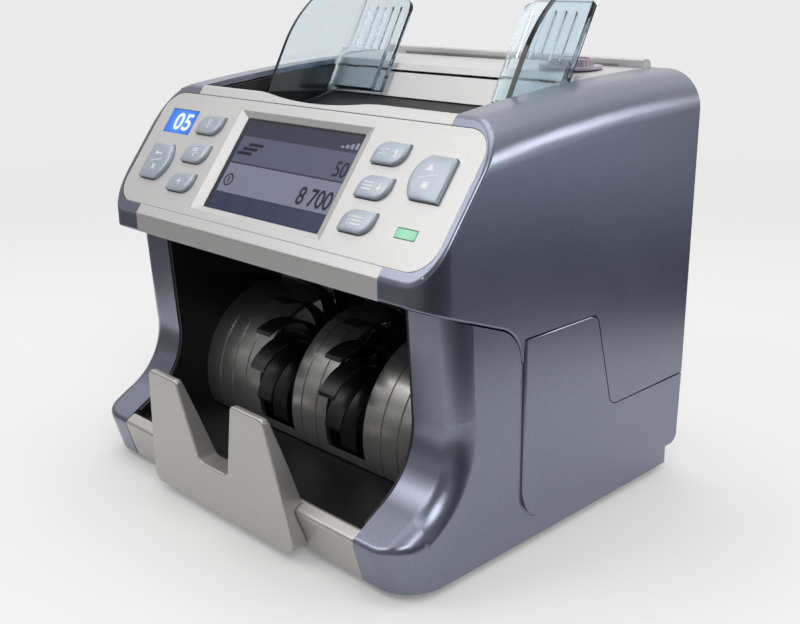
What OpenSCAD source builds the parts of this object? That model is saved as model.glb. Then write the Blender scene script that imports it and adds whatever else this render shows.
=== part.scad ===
// Desktop banknote counter: casing, control panel, hopper with two coupled guides,
// feed and transport rollers, finger wheels over the stacking pocket, drives and electrics.
// Millimetres. X to the right seen from the front, Y to the back, Z up from the table.

/* [Body] */
// width over the two side shells
body_w = 252; // [248:1:258]
// depth from the front lip to the back face
body_d = 198.7; // [196:0.1:203]
// height of the bend between lip and control panel
lip_z = 143.5; // [142.5:0.1:145]
// height of the upright lip below the bend
lip_h = 10.1; // [9:0.1:11]
// slope of the control panel from level
panel_ang = 52.6; // [52:0.1:53.4]
// length of the sloping panel face from the bend to the hopper edge
panel_len = 80.6; // [80:0.1:82]
// rise of the crowned top from the hopper edge to the back
top_rise = 10; // [9:0.5:11]
// radius along the top side edges
edge_r = 20; // [17:0.5:22]
// plan radius of the upper front corners
front_r = 15; // [13:0.5:17]
// width of the painted cheek on each side of the silver strips
cheek_w = 30; // [29:0.1:31]
// wall thickness of the shells
wall = 3; // [2.6:0.1:3.2]
// visible gap along the parting lines
seam_gap = 0.5; // [0.4:0.1:0.7]

/* [Legs] */
// forward reach of the toe ridge from the lip
toe_out = 18.6; // [17:0.1:20]
// plan radius of the toe corners
toe_r = 20; // [19:0.5:22]
// radius of the hollow sweep above the toe
leg_R = 38; // [36:0.5:39]
// rounding between the leg front and the side
leg_r = 12; // [11:0.5:13]
// lean of the upper leg
leg_lean = 3.3; // [2.8:0.1:3.8]
// height where the straight leg turns into the sweep
leg_turn_z = 71; // [70:0.5:72]
// backward slope of the face under the toe ridge
under_ang = 16.4; // [14:0.2:18]
// height of the casing underside over the table
base_z = 4; // [3.5:0.1:5]

/* [Control panel] */
// rim of the shell left around the fascia at the sides
rim = 4; // [3.6:0.1:4.6]
// depth of the silver strips above and below the fascia
strip_v = 5.5; // [5:0.1:6]
// fascia thickness
fascia_t = 3; // [2.8:0.1:3.2]
// width of the panel left on each side of the display
lcd_side = 75.5; // [74.5:0.1:77]
// display opening height at the panel face
lcd_h = 59; // [57:0.5:60]
// small key width
key_w = 19.5; // [18:0.1:20.5]
// small key height
key_h = 11.2; // [10:0.1:12]
// distance between the rows of small keys
key_pitch = 17.4; // [17:0.1:17.8]
// height of the key tops over the fascia
key_up = 1.6; // [1.2:0.1:2]
// side clearance of a key in its hole
key_gap = 0.35; // [0.3:0.05:0.45]
// key travel
key_travel = 1; // [0.8:0.1:1]

/* [Hopper] */
// backward lean of the note guides from upright
guide_lean = 28.9; // [28:0.1:29.6]
// distance from the strip ends to the guide corners at rest
guide_side = 13; // [12:0.1:14]
// width of the ribbed guide plate
guide_w = 41; // [38:0.5:43]
// sheet thickness of the guides
guide_t = 3; // [2.6:0.1:3.2]
// radius of the swept edge of the guide wings
wing_R = 75; // [72:1:78]
// inward travel of each guide
guide_in = 38; // [34:0.5:39]
// diameter of the gap knob flange
knob_d = 33; // [30:0.5:34]

/* [Stacker] */
// radius of the curved pocket guide
drum_R = 49; // [48:0.5:49.5]
// tip radius of the finger wheels
wheel_R = 44; // [42:0.5:45]
// number of fingers on each wheel
fingers = 14; // [10:1:16]
// half width of the pocket plate at the bottom
plate_half = 60; // [57:0.5:62]
// height of the pocket plate top
plate_top = 73; // [70:0.5:76]

/* [Hidden] */
$fn = 64;
half = body_w / 2;
strip_half = half - cheek_w;
guide_half = strip_half - guide_side;
lcd_w = body_w - 2 * lcd_side;
ca = cos(panel_ang);
sa = sin(panel_ang);
lip_bot = lip_z - lip_h;
lip_slope = 0.37;
panel_top_y = panel_len * ca;
panel_top_z = lip_z + panel_len * sa;
top_rear_z = panel_top_z + top_rise;
top_R = (pow(body_d - panel_top_y, 2) + pow(top_rise, 2)) / (2 * top_rise);
seam_hi = 107.6;
seam_lo = 55.5;
groove_y = 60.5;
fit = 0.2;
run = 0.05;
gap = 0.3;
// leg sweep and toe
leg_cy = -16.8;
leg_cz = leg_turn_z;
toe_y = -toe_out;
slope_ang = 30;
// the sweep runs slightly deeper and wider than its neighbours so that the surfaces cross
sweep_over = 0.15;
ease = 0.32;
sweep_ease = 0.25;
sweep_b = [leg_cy + leg_R * sin(slope_ang), leg_cz - leg_R * cos(slope_ang)];
ridge_z = sweep_b[1] - (sweep_b[0] - toe_y) * tan(slope_ang);
bar_r = 2.6;
bar_back_y = toe_y + 6.3;
bar_back_z = ridge_z + 6.3 * tan(slope_ang);
base_step = [body_d - 10.1, 14.6];
// panel layout, measured up the slope from the bend
fas_half = half - rim;
fas_lo = strip_v + fit;
fas_hi = panel_len - strip_v;
fas_r = 14;
panel_mid = panel_len / 2;
lcd_mid = panel_mid - 0.6;
lcd_in_x = 5;
lcd_in_v = 3.2;
lcd_dep = 2;
key_x = half - 56.4;
key_row = [for (i = [0:2]) panel_mid + 16.9 - i * key_pitch];
big_x = half - 26.8;
big_w = 21.4;
big_h = 21.6;
start_v = panel_mid + 8.3;
back_v = panel_mid - 8.9;
digit_w = 25;
digit_h = 14.4;
digit_v = panel_mid + 16.9;
led_w = 12;
led_h = 4.6;
led_v = panel_mid - 18.3;
led_x = half - 26;
post_x = half - 42;
post_v = (fas_hi - fas_lo) / 2 - 8.7;
board_dep = fascia_t + 4.6;
board_t = 1.6;
// inner module planes
chute_out = strip_half - fit;
chute_in = chute_out - 2;
plate_in = strip_half + 1.2;
plate_out = plate_in + 1.5;
// shafts: [y, z]
stack_ax = [70, 62];
drum_c = [86, 40];
feed_ax = [panel_top_y + 20.05, panel_top_z - 41.03];
main_ax = [feed_ax[0] + 11, feed_ax[1] - 26.5];
pinch_ax = [main_ax[0] + 15.5 + 8 + gap, main_ax[1]];
motor_ax = [body_d - 46.7, 96];
shaft_d = 6;
main_R = 15.5;
feed_R = 12.5;
pick_R = 14;
pul_main = 12;
pul_motor = 9;
belt_t = 1.6;
bay_r = [plate_out + 5, plate_out + 11];
bay_l1 = [plate_out + 4, plate_out + 9];
bay_l2 = [plate_out + 12, plate_out + 17];
// hopper floor and back rest
rest_y0 = body_d - 58.7;
rest_z0 = panel_top_z - 0.53;
floor_a = [panel_top_y + 11.05, panel_top_z - 30.53];
floor_b = [rest_y0 - 3, panel_top_z - 9.13];
floor_ang = atan((floor_b[1] - floor_a[1]) / (floor_b[0] - floor_a[0]));
pick_y = floor_a[0] + 0.6156 * (floor_b[0] - floor_a[0]);
pick_ax = [pick_y, floor_a[1] + (pick_y - floor_a[0]) * tan(floor_ang) - 13.17];
tl = tan(guide_lean);
crest_y = rest_y0 + 5.2;
tray_end = body_d - 14.7;
tray_fix = [for (y = [feed_ax[0] + 21, body_d - 28.7]) [y, feed_ax[1] + 5.5]];
cover_end = body_d - 8.6;
slot_z = panel_top_z + 4.67;
slot_h = 1.4;
arm_t = 0.8;
rack_z = panel_top_z - 2.53;
rack_h = 5;
shelf_z = rack_z - 0.4;
pin_y = body_d - 36.7;
pin_r = 8;
pin_teeth = 16;
wing_flare = 5;
wing_tilt = 2.5;
wing_front = [rest_y0 - 52.6, panel_top_z - 4.93];
wing_turn_z = panel_top_z + 20.47;
knob_at = [strip_half - 28.5, body_d - 32.2];
// back
back_t = 3;
back_y = body_d - 2;
door_lo = 66;
hinge = [body_d - 3.6, 62];
inlet_at = [68 - half, 35];
switch_at = [104 - half, 35];
foot_at = [strip_half - 12, [20, body_d - 30.7]];
// boards behind the wheels
inner_y = stack_ax[0] + wheel_R + 8;
board_d = body_d - 16.7 - inner_y;
supply_d = back_y - 24.7 - inner_y;
supply_w = strip_half - 12;
// rest face and overall depth
plate_front = -29;
plate_foot = -23;
y_mid = (body_d + plate_front) / 2;

// height of the crowned top at a depth
function top_z(y) = top_rear_z - top_R + sqrt(top_R * top_R - pow(body_d - y, 2));
// depth of the hopper back rest at a height
function rest_y(z) = rest_y0 + (z - rest_z0) * tl;
// height of the hopper floor at a depth
function floor_z(y) = floor_a[1] + (y - floor_a[0]) * tan(floor_ang);
// point on the panel face, v up the slope, d below the face
function on_face(v, d = 0) = [v * ca + d * sa, lip_z + v * sa - d * ca];
// lower edge of the upper shell in front of the groove
function lip_low(y) = lip_bot - lip_slope * y;

function unit(v) = v / norm(v);
// arc points that round the corner b of the path a, b, c
function corner(a, b, c, r, n = 6) =
  let (p = unit(a - b), q = unit(c - b), h = acos(p * q) / 2,
       m = b + unit(p + q) * (r / sin(h)), s = b + p * (r / tan(h)), e = b + q * (r / tan(h)),
       a0 = atan2(s[1] - m[1], s[0] - m[0]), d0 = atan2(e[1] - m[1], e[0] - m[0]) - a0,
       d = d0 > 180 ? d0 - 360 : d0 < -180 ? d0 + 360 : d0)
  [for (i = [0:n]) m + r * [cos(a0 + d * i / n), sin(a0 + d * i / n)]];

// a profile drawn in Y and Z, run along X
module along_x(x0, x1) {
  translate([x0, 0, 0])
    rotate([90, 0, 90])
      linear_extrude(height = x1 - x0)
        children();
}

// a profile drawn in X and Z, run along Y
module along_y(y0, y1) {
  translate([0, y1, 0])
    rotate([90, 0, 0])
      linear_extrude(height = y1 - y0)
        children();
}

// local Y runs up the panel slope, local Z out of its face
module on_panel() {
  translate([0, 0, lip_z])
    rotate([panel_ang, 0, 0])
      children();
}

// a round bar along X at a [y, z] axis
module bar_x(ax, x0, x1, r) {
  translate([x0, ax[0], ax[1]])
    rotate([0, 90, 0])
      cylinder(r = r, h = x1 - x0);
}

module mirrored_x() {
  mirror([1, 0, 0])
    children();
}

// a rectangle whose upper left and lower right corners are rounded
module leaf(w, h, r) {
  difference() {
    translate([-w / 2, -h / 2])
      square([w, h]);
    for (k = [0, 180])
      rotate(k)
        translate([-w / 2 + r, h / 2 - r])
          difference() {
            translate([-r - 1, 0])
              square([r + 1, r + 1]);
            circle(r);
          }
  }
}

// a key with one straight side, its other side a half round
module dee(w, h, flip) {
  rotate(flip)
    intersection() {
      translate([-w / 2, -h / 2])
        square([w, h]);
      translate([w / 2 - h * 0.62, h * 0.04])
        circle(h * 0.62);
    }
}

module rounded_box(w, h, r) {
  union() {
    translate([-w / 2 + r, -h / 2])
      square([w - 2 * r, h]);
    translate([-w / 2, -h / 2 + r])
      square([w, h - 2 * r]);
    for (x = [-1, 1], y = [-1, 1])
      translate([x * (w / 2 - r), y * (h / 2 - r)])
        circle(r);
  }
}

// plan with rounded front corners, its front at local y = 0
module plan(h, r, depth) {
  union() {
    translate([-h + r, 0])
      square([2 * (h - r), depth]);
    translate([-h, r])
      square([2 * h, depth - r]);
    for (s = [-1, 1])
      translate([s * (h - r), r])
        circle(r);
  }
}

// crowned top with rounded side edges, turned about a far axis behind and below
module crown(off) {
  r = edge_r - off;
  h = half - off;
  translate([0, body_d, top_rear_z - top_R])
    rotate([0, -90, 180])
      rotate_extrude(angle = 14, $fn = 720)
        difference() {
          translate([top_R - 190, -h])
            square([190 - off, 2 * h]);
          for (s = [0, 1])
            mirror([0, s])
              translate([top_R - off - r, h - r])
                difference() {
                  square([r + 1, r + 1]);
                  circle(r, $fn = 64);
                }
        }
}

// outline of the upper shells in Y and Z, down to the stepped parting line
module upper_outline() {
  y2 = body_d - 66.3;
  y1 = y2 - 14.3;
  // the lip runs down into the groove
  tip_z = seam_hi - 11.6;
  polygon(concat(
    [[0, lip_bot], [0, lip_z], on_face(140), [body_d, 300], [body_d, seam_lo]],
    corner([body_d, seam_lo], [y2, seam_lo], [y1, seam_hi], 7),
    corner([y2, seam_lo], [y1, seam_hi], [groove_y, seam_hi], 7),
    [[groove_y + 2.6, seam_hi], [groove_y + 0.4, tip_z]],
    corner([groove_y + 0.4, tip_z], [groove_y + 0.4, lip_low(groove_y + 0.4)], [0, lip_bot], 20, 8)));
}

// everything inside the upper walls
module upper_cavity() {
  d = fascia_t + 2.5;
  intersection() {
    crown(wall);
    translate([0, wall, 0])
      linear_extrude(height = 300)
        plan(half - wall, front_r - wall + 4, body_d - 2 * wall);
    along_x(strip_half - 2, half)
      polygon([[wall, lip_low(wall) + wall], on_face(2.4, d), on_face(140, d), [body_d, 300],
        [body_d, 20], [26, 20], [26, lip_low(26) + wall]]);
  }
}

module upper_shell() {
  union() {
    difference() {
      intersection() {
        crown(0);
        linear_extrude(height = 300)
          plan(half, front_r, body_d);
        along_x(strip_half, half + 1)
          upper_outline();
      }
      upper_cavity();
      // recess for the fascia, with a ledge left behind it
      on_panel()
        translate([0, 0, -fascia_t])
          linear_extrude(height = 20)
            fascia_outline(fit);
      on_panel()
        translate([0, 0, -fascia_t - 20])
          linear_extrude(height = 30)
            fascia_outline(-4);
    }
    shell_bosses([[body_d - 28.7, panel_top_z - 21.5], [body_d - 26.7, 122]]);
  }
}

// screw bosses from the side wall to the side plate
module shell_bosses(at) {
  for (p = at)
    difference() {
      bar_x(p, plate_out, half - wall + 0.5, 4.5);
      bar_x(p, plate_out - 1, plate_out + 12, 1.4);
    }
}

module fascia_outline(off) {
  translate([0, (fas_lo + fas_hi) / 2])
    rounded_box(2 * (fas_half + off), fas_hi - fas_lo + 2 * off, fas_r + off);
}

// profile of the space in front of the legs: first axis into the leg, second axis X
module leg_space(off, base) {
  x0 = strip_half - 8;
  xc = half - leg_r + (base > 0 ? sweep_ease : ease);
  union() {
    translate([base > 0 ? 0 : -70, x0])
      square([base > 0 ? base + off : 70 + off, half + 5 - x0]);
    translate([base, 0])
      difference() {
        translate([off - 0.5, xc])
          square([leg_r - off + 0.5, leg_r + 5]);
        translate([leg_r, xc])
          circle(leg_r - off);
      }
  }
}

// the space in front of the legs: straight, swept about an axis along X, then straight again
module leg_cut(off) {
  top_p = [leg_cy + leg_R * cos(leg_lean), leg_cz + leg_R * sin(leg_lean)];
  lap = 10;
  x0 = strip_half - 8;
  union() {
    translate([x0, leg_cy - 60, leg_cz - 24])
      cube([half + 5 - x0, 66, 100]);
    translate([0, top_p[0], top_p[1]])
      rotate([leg_lean, 0, 0])
        translate([0, 0, 90])
          rotate([180, 0, 90])
            linear_extrude(height = 90)
              leg_space(off, 0);
    translate([0, leg_cy, leg_cz])
      rotate([0, -90, 180])
        rotate([0, 0, -180 + slope_ang - lap])
          rotate_extrude(angle = 90 - slope_ang + leg_lean + 2 * lap, $fn = 180)
            leg_space(off, leg_R + sweep_over);
    translate([0, sweep_b[0], sweep_b[1]])
      rotate([slope_ang - 90, 0, 0])
        rotate([180, 0, 90])
          linear_extrude(height = 60)
            leg_space(off, 0);
  }
}

// outline of the lower shells in Y and Z
module lower_outline() {
  difference() {
    polygon(concat([[-60, base_z], [base_step[0], base_z], base_step],
      corner(base_step, [body_d - 1.5, base_step[1]], [body_d, seam_lo], 6),
      [[body_d, seam_lo], [body_d, 140], [-60, 140]]));
    offset(delta = seam_gap)
      upper_outline();
  }
}

// plan of the lower part, its rounded front leaning in towards the table
module lower_block(off) {
  intersection() {
    translate([-half + off, toe_y - 5, 0])
      cube([2 * (half - off), body_d - toe_y + 5 - off, 150]);
    translate([0, toe_y, ridge_z])
      rotate([under_ang, 0, 0])
        translate([0, off, -80])
          linear_extrude(height = 260)
            plan(half - off, toe_r - off, 320);
  }
}

module lower_shell() {
  union() {
    difference() {
      intersection() {
        lower_block(0);
        along_x(strip_half, half + 1)
          lower_outline();
      }
      leg_cut(0);
      difference() {
        intersection() {
          lower_block(wall);
          along_x(strip_half - 1, half)
            polygon([[-60, 0], [body_d, 0], [body_d, 150], [-60, 150]]);
        }
        leg_cut(wall);
      }
      side_groove();
      foot_band();
    }
    shell_bosses([[44, 40], [body_d - 36.7, 38]]);
  }
}

// shallow groove that sets the cheek off from the panel behind it
module side_groove() {
  w = 3.2;
  d = 1.4;
  r = 16.5;
  z = base_step[1] + r;
  along_x(half - d, half + 1)
    union() {
      translate([groove_y, z])
        square([w, seam_hi - z + 2]);
      intersection() {
        translate([groove_y + r, z])
          difference() {
            circle(r);
            circle(r - w);
          }
        translate([groove_y, z - r - 1])
          square([r, r + 1]);
      }
      translate([groove_y + r, z - r])
        polygon([[0, 0], [11, 0], [0, w]]);
    }
}

// band below the side panel, set in towards the back
module foot_band() {
  y0 = groove_y + 30;
  y1 = body_d + 1;
  d = 1.2;
  linear_extrude(height = base_step[1])
    polygon([[half, y0], [half + 1, y0], [half + 1, y1], [half - d, y1]]);
}

module right_upper_shell() {
  color("slategray")
    upper_shell();
}

module left_upper_shell() {
  color("slategray")
    mirrored_x()
      upper_shell();
}

module right_lower_shell() {
  color("slategray")
    lower_shell();
}

module left_lower_shell() {
  color("slategray")
    mirrored_x()
      lower_shell();
}

module base_pan() {
  color("dimgray")
    difference() {
      union() {
        along_x(-strip_half + fit, strip_half - fit)
          polygon([[bar_back_y + 4, base_z], [base_step[0], base_z], [base_step[0], 14],
            [base_step[0] - 3, 14], [base_step[0] - 3, base_z + 3], [bar_back_y + 4, base_z + 3]]);
        for (s = [0, 1])
          mirror([s, 0, 0])
            along_x(strip_half - fit, half - wall - fit)
              polygon([[64, base_z], [base_step[0], base_z],
                [base_step[0], base_step[1] - seam_gap],
                [base_step[0] - 3.6, base_step[1] - seam_gap - 0.4],
                [base_step[0] - 3.6, base_z + 3], [64, base_z + 3]]);
      }
      for (x = [-1, 1], y = foot_at[1])
        translate([x * foot_at[0], y, base_z - 1])
          cylinder(d = 3.4, h = 8);
    }
}

// fascia holes are the key outlines grown by the clearance
module fascia() {
  color("gainsboro")
    on_panel()
      difference() {
        union() {
          translate([0, 0, -fascia_t])
            linear_extrude(height = fascia_t)
              fascia_outline(0);
          // posts that carry the board
          for (x = [-post_x, post_x], v = [-1, 1])
            translate([x, (fas_lo + fas_hi) / 2 + v * post_v, -board_dep])
              cylinder(d = 5.6, h = board_dep - fascia_t + 0.5);
        }
        lcd_well();
        translate([0, 0, -fascia_t - 1])
          linear_extrude(height = fascia_t + 2) {
            for (i = [0:2], s = [-1, 1])
              translate([s * key_x, key_row[i]])
                offset(delta = key_gap)
                  leaf(key_w, key_h, key_h * 0.66);
            translate([big_x, start_v])
              offset(delta = key_gap)
                dee(big_w, big_h, 180);
            translate([-big_x, back_v])
              offset(delta = key_gap)
                dee(big_w, big_h, 0);
            translate([-big_x, digit_v])
              square([digit_w + 2 * fit, digit_h + 2 * fit], center = true);
            translate([led_x, led_v])
              square([led_w + 2 * fit, led_h + 2 * fit], center = true);
          }
      }
}

// display opening with sloping sides, then straight through
module lcd_well() {
  w2 = lcd_w / 2;
  h2 = lcd_h / 2;
  translate([0, lcd_mid, 0]) {
    intersection() {
      rotate([90, 0, 0])
        translate([0, 0, -h2 - 1])
          linear_extrude(height = lcd_h + 2)
            polygon([[-w2 + lcd_in_x, -lcd_dep], [w2 - lcd_in_x, -lcd_dep], [w2, 0], [w2, 1],
              [-w2, 1], [-w2, 0]]);
      rotate([90, 0, 90])
        translate([0, 0, -w2 - 1])
          linear_extrude(height = lcd_w + 2)
            polygon([[-h2 + lcd_in_v, -lcd_dep], [h2 - lcd_in_v, -lcd_dep], [h2, 0], [h2, 1],
              [-h2, 1], [-h2, 0]]);
    }
    translate([-w2 + lcd_in_x, -h2 + lcd_in_v, -fascia_t - 1])
      cube([lcd_w - 2 * lcd_in_x, lcd_h - 2 * lcd_in_v, fascia_t]);
  }
}

module display_glass() {
  color("darkslateblue")
    on_panel()
      translate([0, lcd_mid, -fascia_t - fit])
        linear_extrude(height = fascia_t + fit - lcd_dep)
          square([lcd_w - 2 * lcd_in_x - 2 * fit, lcd_h - 2 * lcd_in_v - 2 * fit], center = true);
}

module display_module() {
  color("silver")
    on_panel()
      translate([0, lcd_mid, -board_dep])
        linear_extrude(height = board_dep - fascia_t - fit)
          square([lcd_w - 6, lcd_h - 2 * lcd_in_v + 2], center = true);
}

module digit_window() {
  color("dodgerblue")
    on_panel()
      translate([-big_x, digit_v, -board_dep])
        linear_extrude(height = board_dep - 0.2)
          square([digit_w, digit_h], center = true);
}

module status_lens() {
  color("lightgreen")
    on_panel()
      translate([led_x, led_v, -board_dep])
        linear_extrude(height = board_dep + 0.1)
          square([led_w, led_h], center = true);
}

// a key: cap, retaining flange behind the fascia, stem towards the board
module key_body(x, v) {
  on_panel()
    translate([x, v, 0]) {
      translate([0, 0, -fascia_t - gap])
        linear_extrude(height = fascia_t + gap + key_up)
          children();
      translate([0, 0, -fascia_t - gap - 1.2])
        linear_extrude(height = 1.2)
          offset(delta = 0.9)
            children();
      translate([0, 0, -board_dep + key_travel + 0.4])
        cylinder(d = 5, h = board_dep - key_travel - 0.4 - fascia_t - gap - 1);
    }
}

module leaf_key(s, i) {
  color("lightsteelblue")
    key_body(s * key_x, key_row[i])
      leaf(key_w, key_h, key_h * 0.66);
}

module key_start() {
  color("lightsteelblue")
    key_body(big_x, start_v)
      dee(big_w, big_h, 180);
}

module key_back() {
  color("lightsteelblue")
    key_body(-big_x, back_v)
      dee(big_w, big_h, 0);
}

module key_up_arrow() {
  leaf_key(1, 0);
}

module key_down_arrow() {
  leaf_key(1, 1);
}

module key_report() {
  leaf_key(1, 2);
}

module key_select() {
  leaf_key(-1, 0);
}

module key_batch() {
  leaf_key(-1, 1);
}

module key_add() {
  leaf_key(-1, 2);
}

module keypad_board() {
  color("darkgreen")
    on_panel()
      difference() {
        translate([0, (fas_lo + fas_hi) / 2, -board_dep - board_t])
          linear_extrude(height = board_t)
            square([2 * fas_half - 14, fas_hi - fas_lo - 12], center = true);
        for (x = [-1, 1])
          translate([x * post_x, (fas_lo + fas_hi) / 2 + post_v, -board_dep - 5])
            cylinder(d = 2.6, h = 10);
      }
}

// silver strip along the hopper edge, with the shallow thumb scoop
module top_trim() {
  v0 = fas_hi + fit;
  scoop_w = 37;
  scoop_d = 3;
  scoop_R = (scoop_w * scoop_w + scoop_d * scoop_d) / (2 * scoop_d);
  e = on_face(panel_len);
  color("gainsboro")
    difference() {
      along_x(-strip_half, strip_half)
        polygon([on_face(v0), e, [e[0] + 2.2, e[1] + 0.1], [e[0] + 2.2, e[1] - 12],
          [e[0] + 0.1, e[1] - 12], on_face(v0, 3)]);
      on_panel()
        translate([0, panel_len - scoop_d + scoop_R, -30])
          cylinder(r = scoop_R, h = 60, $fn = 720);
    }
}

// silver strip round the bend, with the underside of the lip
module lip_trim() {
  t = 2.6;
  back = 26;
  color("gainsboro")
    along_x(-strip_half, strip_half)
      polygon([[0, lip_bot], [0, lip_z], on_face(strip_v), on_face(strip_v, t), on_face(1.4, t),
        [t, lip_z - 1], [t, lip_low(t) + t], [back, lip_low(back) + t], [back, lip_low(back)]]);
}

// crowned rear cover with the hopper back rest as its front face
module top_cover() {
  t = 2.5;
  n = 6;
  ys = [for (i = [0:n]) crest_y + (cover_end - crest_y) * i / n];
  zb = floor_z(rest_y0 - 4) + 0.6;
  color("gainsboro")
    difference() {
      union() {
        along_x(-strip_half, strip_half)
          polygon(concat([[rest_y(slot_z), slot_z]], [for (y = ys) [y, top_z(y)]],
            [[cover_end, rack_z - 9], [cover_end - t, rack_z - 9], [cover_end - t, top_z(cover_end) - t]],
            [for (i = [n - 1:-1:1]) [ys[i], top_z(ys[i]) - t]],
            [[crest_y + 2.4, top_z(crest_y) - t - 0.2], [rest_y(slot_z) + t + 0.4, slot_z]]));
        along_x(-chute_in + fit, chute_in - fit)
          polygon([[rest_y(zb), zb], [rest_y(slot_z + 1), slot_z + 1],
            [rest_y(slot_z + 1) + t + 0.4, slot_z + 1], [rest_y(zb) + t + 0.4, zb]]);
      }
      // thin slot for the guide arms
      translate([-guide_half - 4, rest_y0 - 10, slot_z - slot_h / 2])
        cube([2 * guide_half + 8, 18, slot_h]);
      // line along the crest
      bar_x([crest_y + 0.3, top_z(crest_y) + 0.1], -strip_half - 1, strip_half + 1, 0.45);
      translate([knob_at[0], knob_at[1], rack_z - 15])
        cylinder(d = shaft_d + 2 * run, h = 60);
      // room for the tray walls under the ends
      for (s = [-1, 1])
        translate([s > 0 ? chute_in - fit : -strip_half - 1, rest_y0 - 20, rack_z - 25])
          cube([strip_half + 1 - chute_in + fit, 66, top_z(crest_y) - wall - rack_z + 25]);
    }
}

// guide sheets: a ribbed plate across the note and a wing along its end
module guide() {
  zb = floor_z(rest_y0 - 10) + 3.6;
  up = 1 / cos(guide_lean);
  h1 = (rest_z0 + 43.5 - zb) * up;
  h2 = (rest_z0 + 14 - zb) * up;
  y0 = rest_y(zb) - 1.2;
  union() {
    // the plate in its leaning plane, with ribs and a thicker foot
    translate([0, y0, zb])
      rotate([-guide_lean, 0, 0]) {
        translate([guide_half - guide_w, -guide_t, 0])
          rotate([90, 0, 0])
            translate([0, 0, -guide_t])
              linear_extrude(height = guide_t)
                difference() {
                  square([guide_w + 1.5, h1]);
                  translate([7, h1 - 7])
                    difference() {
                      translate([-8, 0])
                        square([8, 8]);
                      circle(7);
                    }
                }
        for (i = [0:4])
          translate([guide_half - guide_w + 6 + i * 6.6, -guide_t - 1.2, 0])
            cube([1.8, 1.3, h1 - 6]);
        translate([guide_half - guide_w + 5, -guide_t - 2.6, 0])
          cube([guide_w - 4, 2.7, h2]);
      }
    guide_wing();
    // arm through the slot to the rack
    translate([guide_half - 16, rest_y(slot_z) - 2.4, slot_z - arm_t / 2])
      cube([10, 12, arm_t]);
  }
}

// the wing turns outwards towards the front and the top; its front edge ends in a large arc
module guide_wing() {
  base = rest_y0 - 4.2;
  translate([guide_half, base, rest_z0])
    rotate([0, wing_tilt, wing_flare])
      translate([0, -base, -rest_z0])
        along_x(0, guide_t)
          wing_outline();
}

function wing_y(z) = wing_front[0] + (z - wing_front[1]) * tl;

module wing_outline() {
  turn = [wing_y(wing_turn_z), wing_turn_z];
  mid = turn + wing_R * [cos(guide_lean), -sin(guide_lean)];
  foot = floor_z(wing_front[0] - 10.6) + 1.7;
  heel = floor_z(rest_y0 - 5.4) + 1.7;
  intersection() {
    polygon([[wing_y(foot), foot], [wing_y(300), 300], [rest_y(300) - 1.2, 300],
      [rest_y(heel) - 1.2, heel]]);
    union() {
      translate(mid)
        circle(wing_R, $fn = 160);
      polygon([[wing_y(foot), foot], turn, mid, [mid[0], 150], [wing_y(foot), 150]]);
    }
  }
}

module right_guide() {
  color("lightcyan")
    guide();
}

module left_guide() {
  color("lightcyan")
    mirrored_x() {
      guide();
      translate([guide_half - 16, rest_y(slot_z), slot_z - arm_t / 2])
        cube([10, pin_y + 20 - rest_y(slot_z), arm_t]);
    }
}

// a rack whose teeth stand towards +Y, module 1, carried on to the guide arm
module rack_profile() {
  teeth = ceil(guide_in / PI) + 5;
  union() {
    translate([-3 * PI, -5.2])
      square([guide_half - 6 + 3 * PI, 4.05]);
    for (i = [0:teeth - 1])
      translate([(i - 2.5) * PI, 0])
        polygon([[-1.05, -1.3], [1.05, -1.3], [0.62, 0], [0.3, 0.75], [-0.3, 0.75], [-0.62, 0]]);
  }
}

module right_rack() {
  color("ivory") {
    translate([0, pin_y - pin_r, rack_z])
      linear_extrude(height = rack_h)
        rack_profile();
    translate([guide_half - 16, pin_y - pin_r - 5.2, rack_z + rack_h])
      cube([10, 4, slot_z - arm_t / 2 - rack_z - rack_h]);
  }
}

module left_rack() {
  color("ivory") {
    translate([0, pin_y + pin_r, rack_z])
      linear_extrude(height = rack_h)
        mirror([1, 0])
          mirror([0, 1])
            rack_profile();
    translate([-guide_half + 6, pin_y + pin_r + 1.2, rack_z + rack_h])
      cube([10, 4, slot_z - arm_t / 2 - rack_z - rack_h]);
  }
}

module rack_pinion() {
  color("ivory")
    translate([0, pin_y, rack_z])
      difference() {
        linear_extrude(height = rack_h)
          union() {
            circle(6.7, $fn = 48);
            for (i = [0:pin_teeth - 1])
              rotate(i * 360 / pin_teeth)
                polygon([[6.3, -0.95], [6.9, -0.9], [8, -0.62], [8.75, -0.28], [8.75, 0.28],
                  [8, 0.62], [6.9, 0.9], [6.3, 0.95]]);
          }
        translate([0, 0, -1])
          cylinder(d = 4 + 2 * run, h = rack_h + 2);
      }
}

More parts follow.
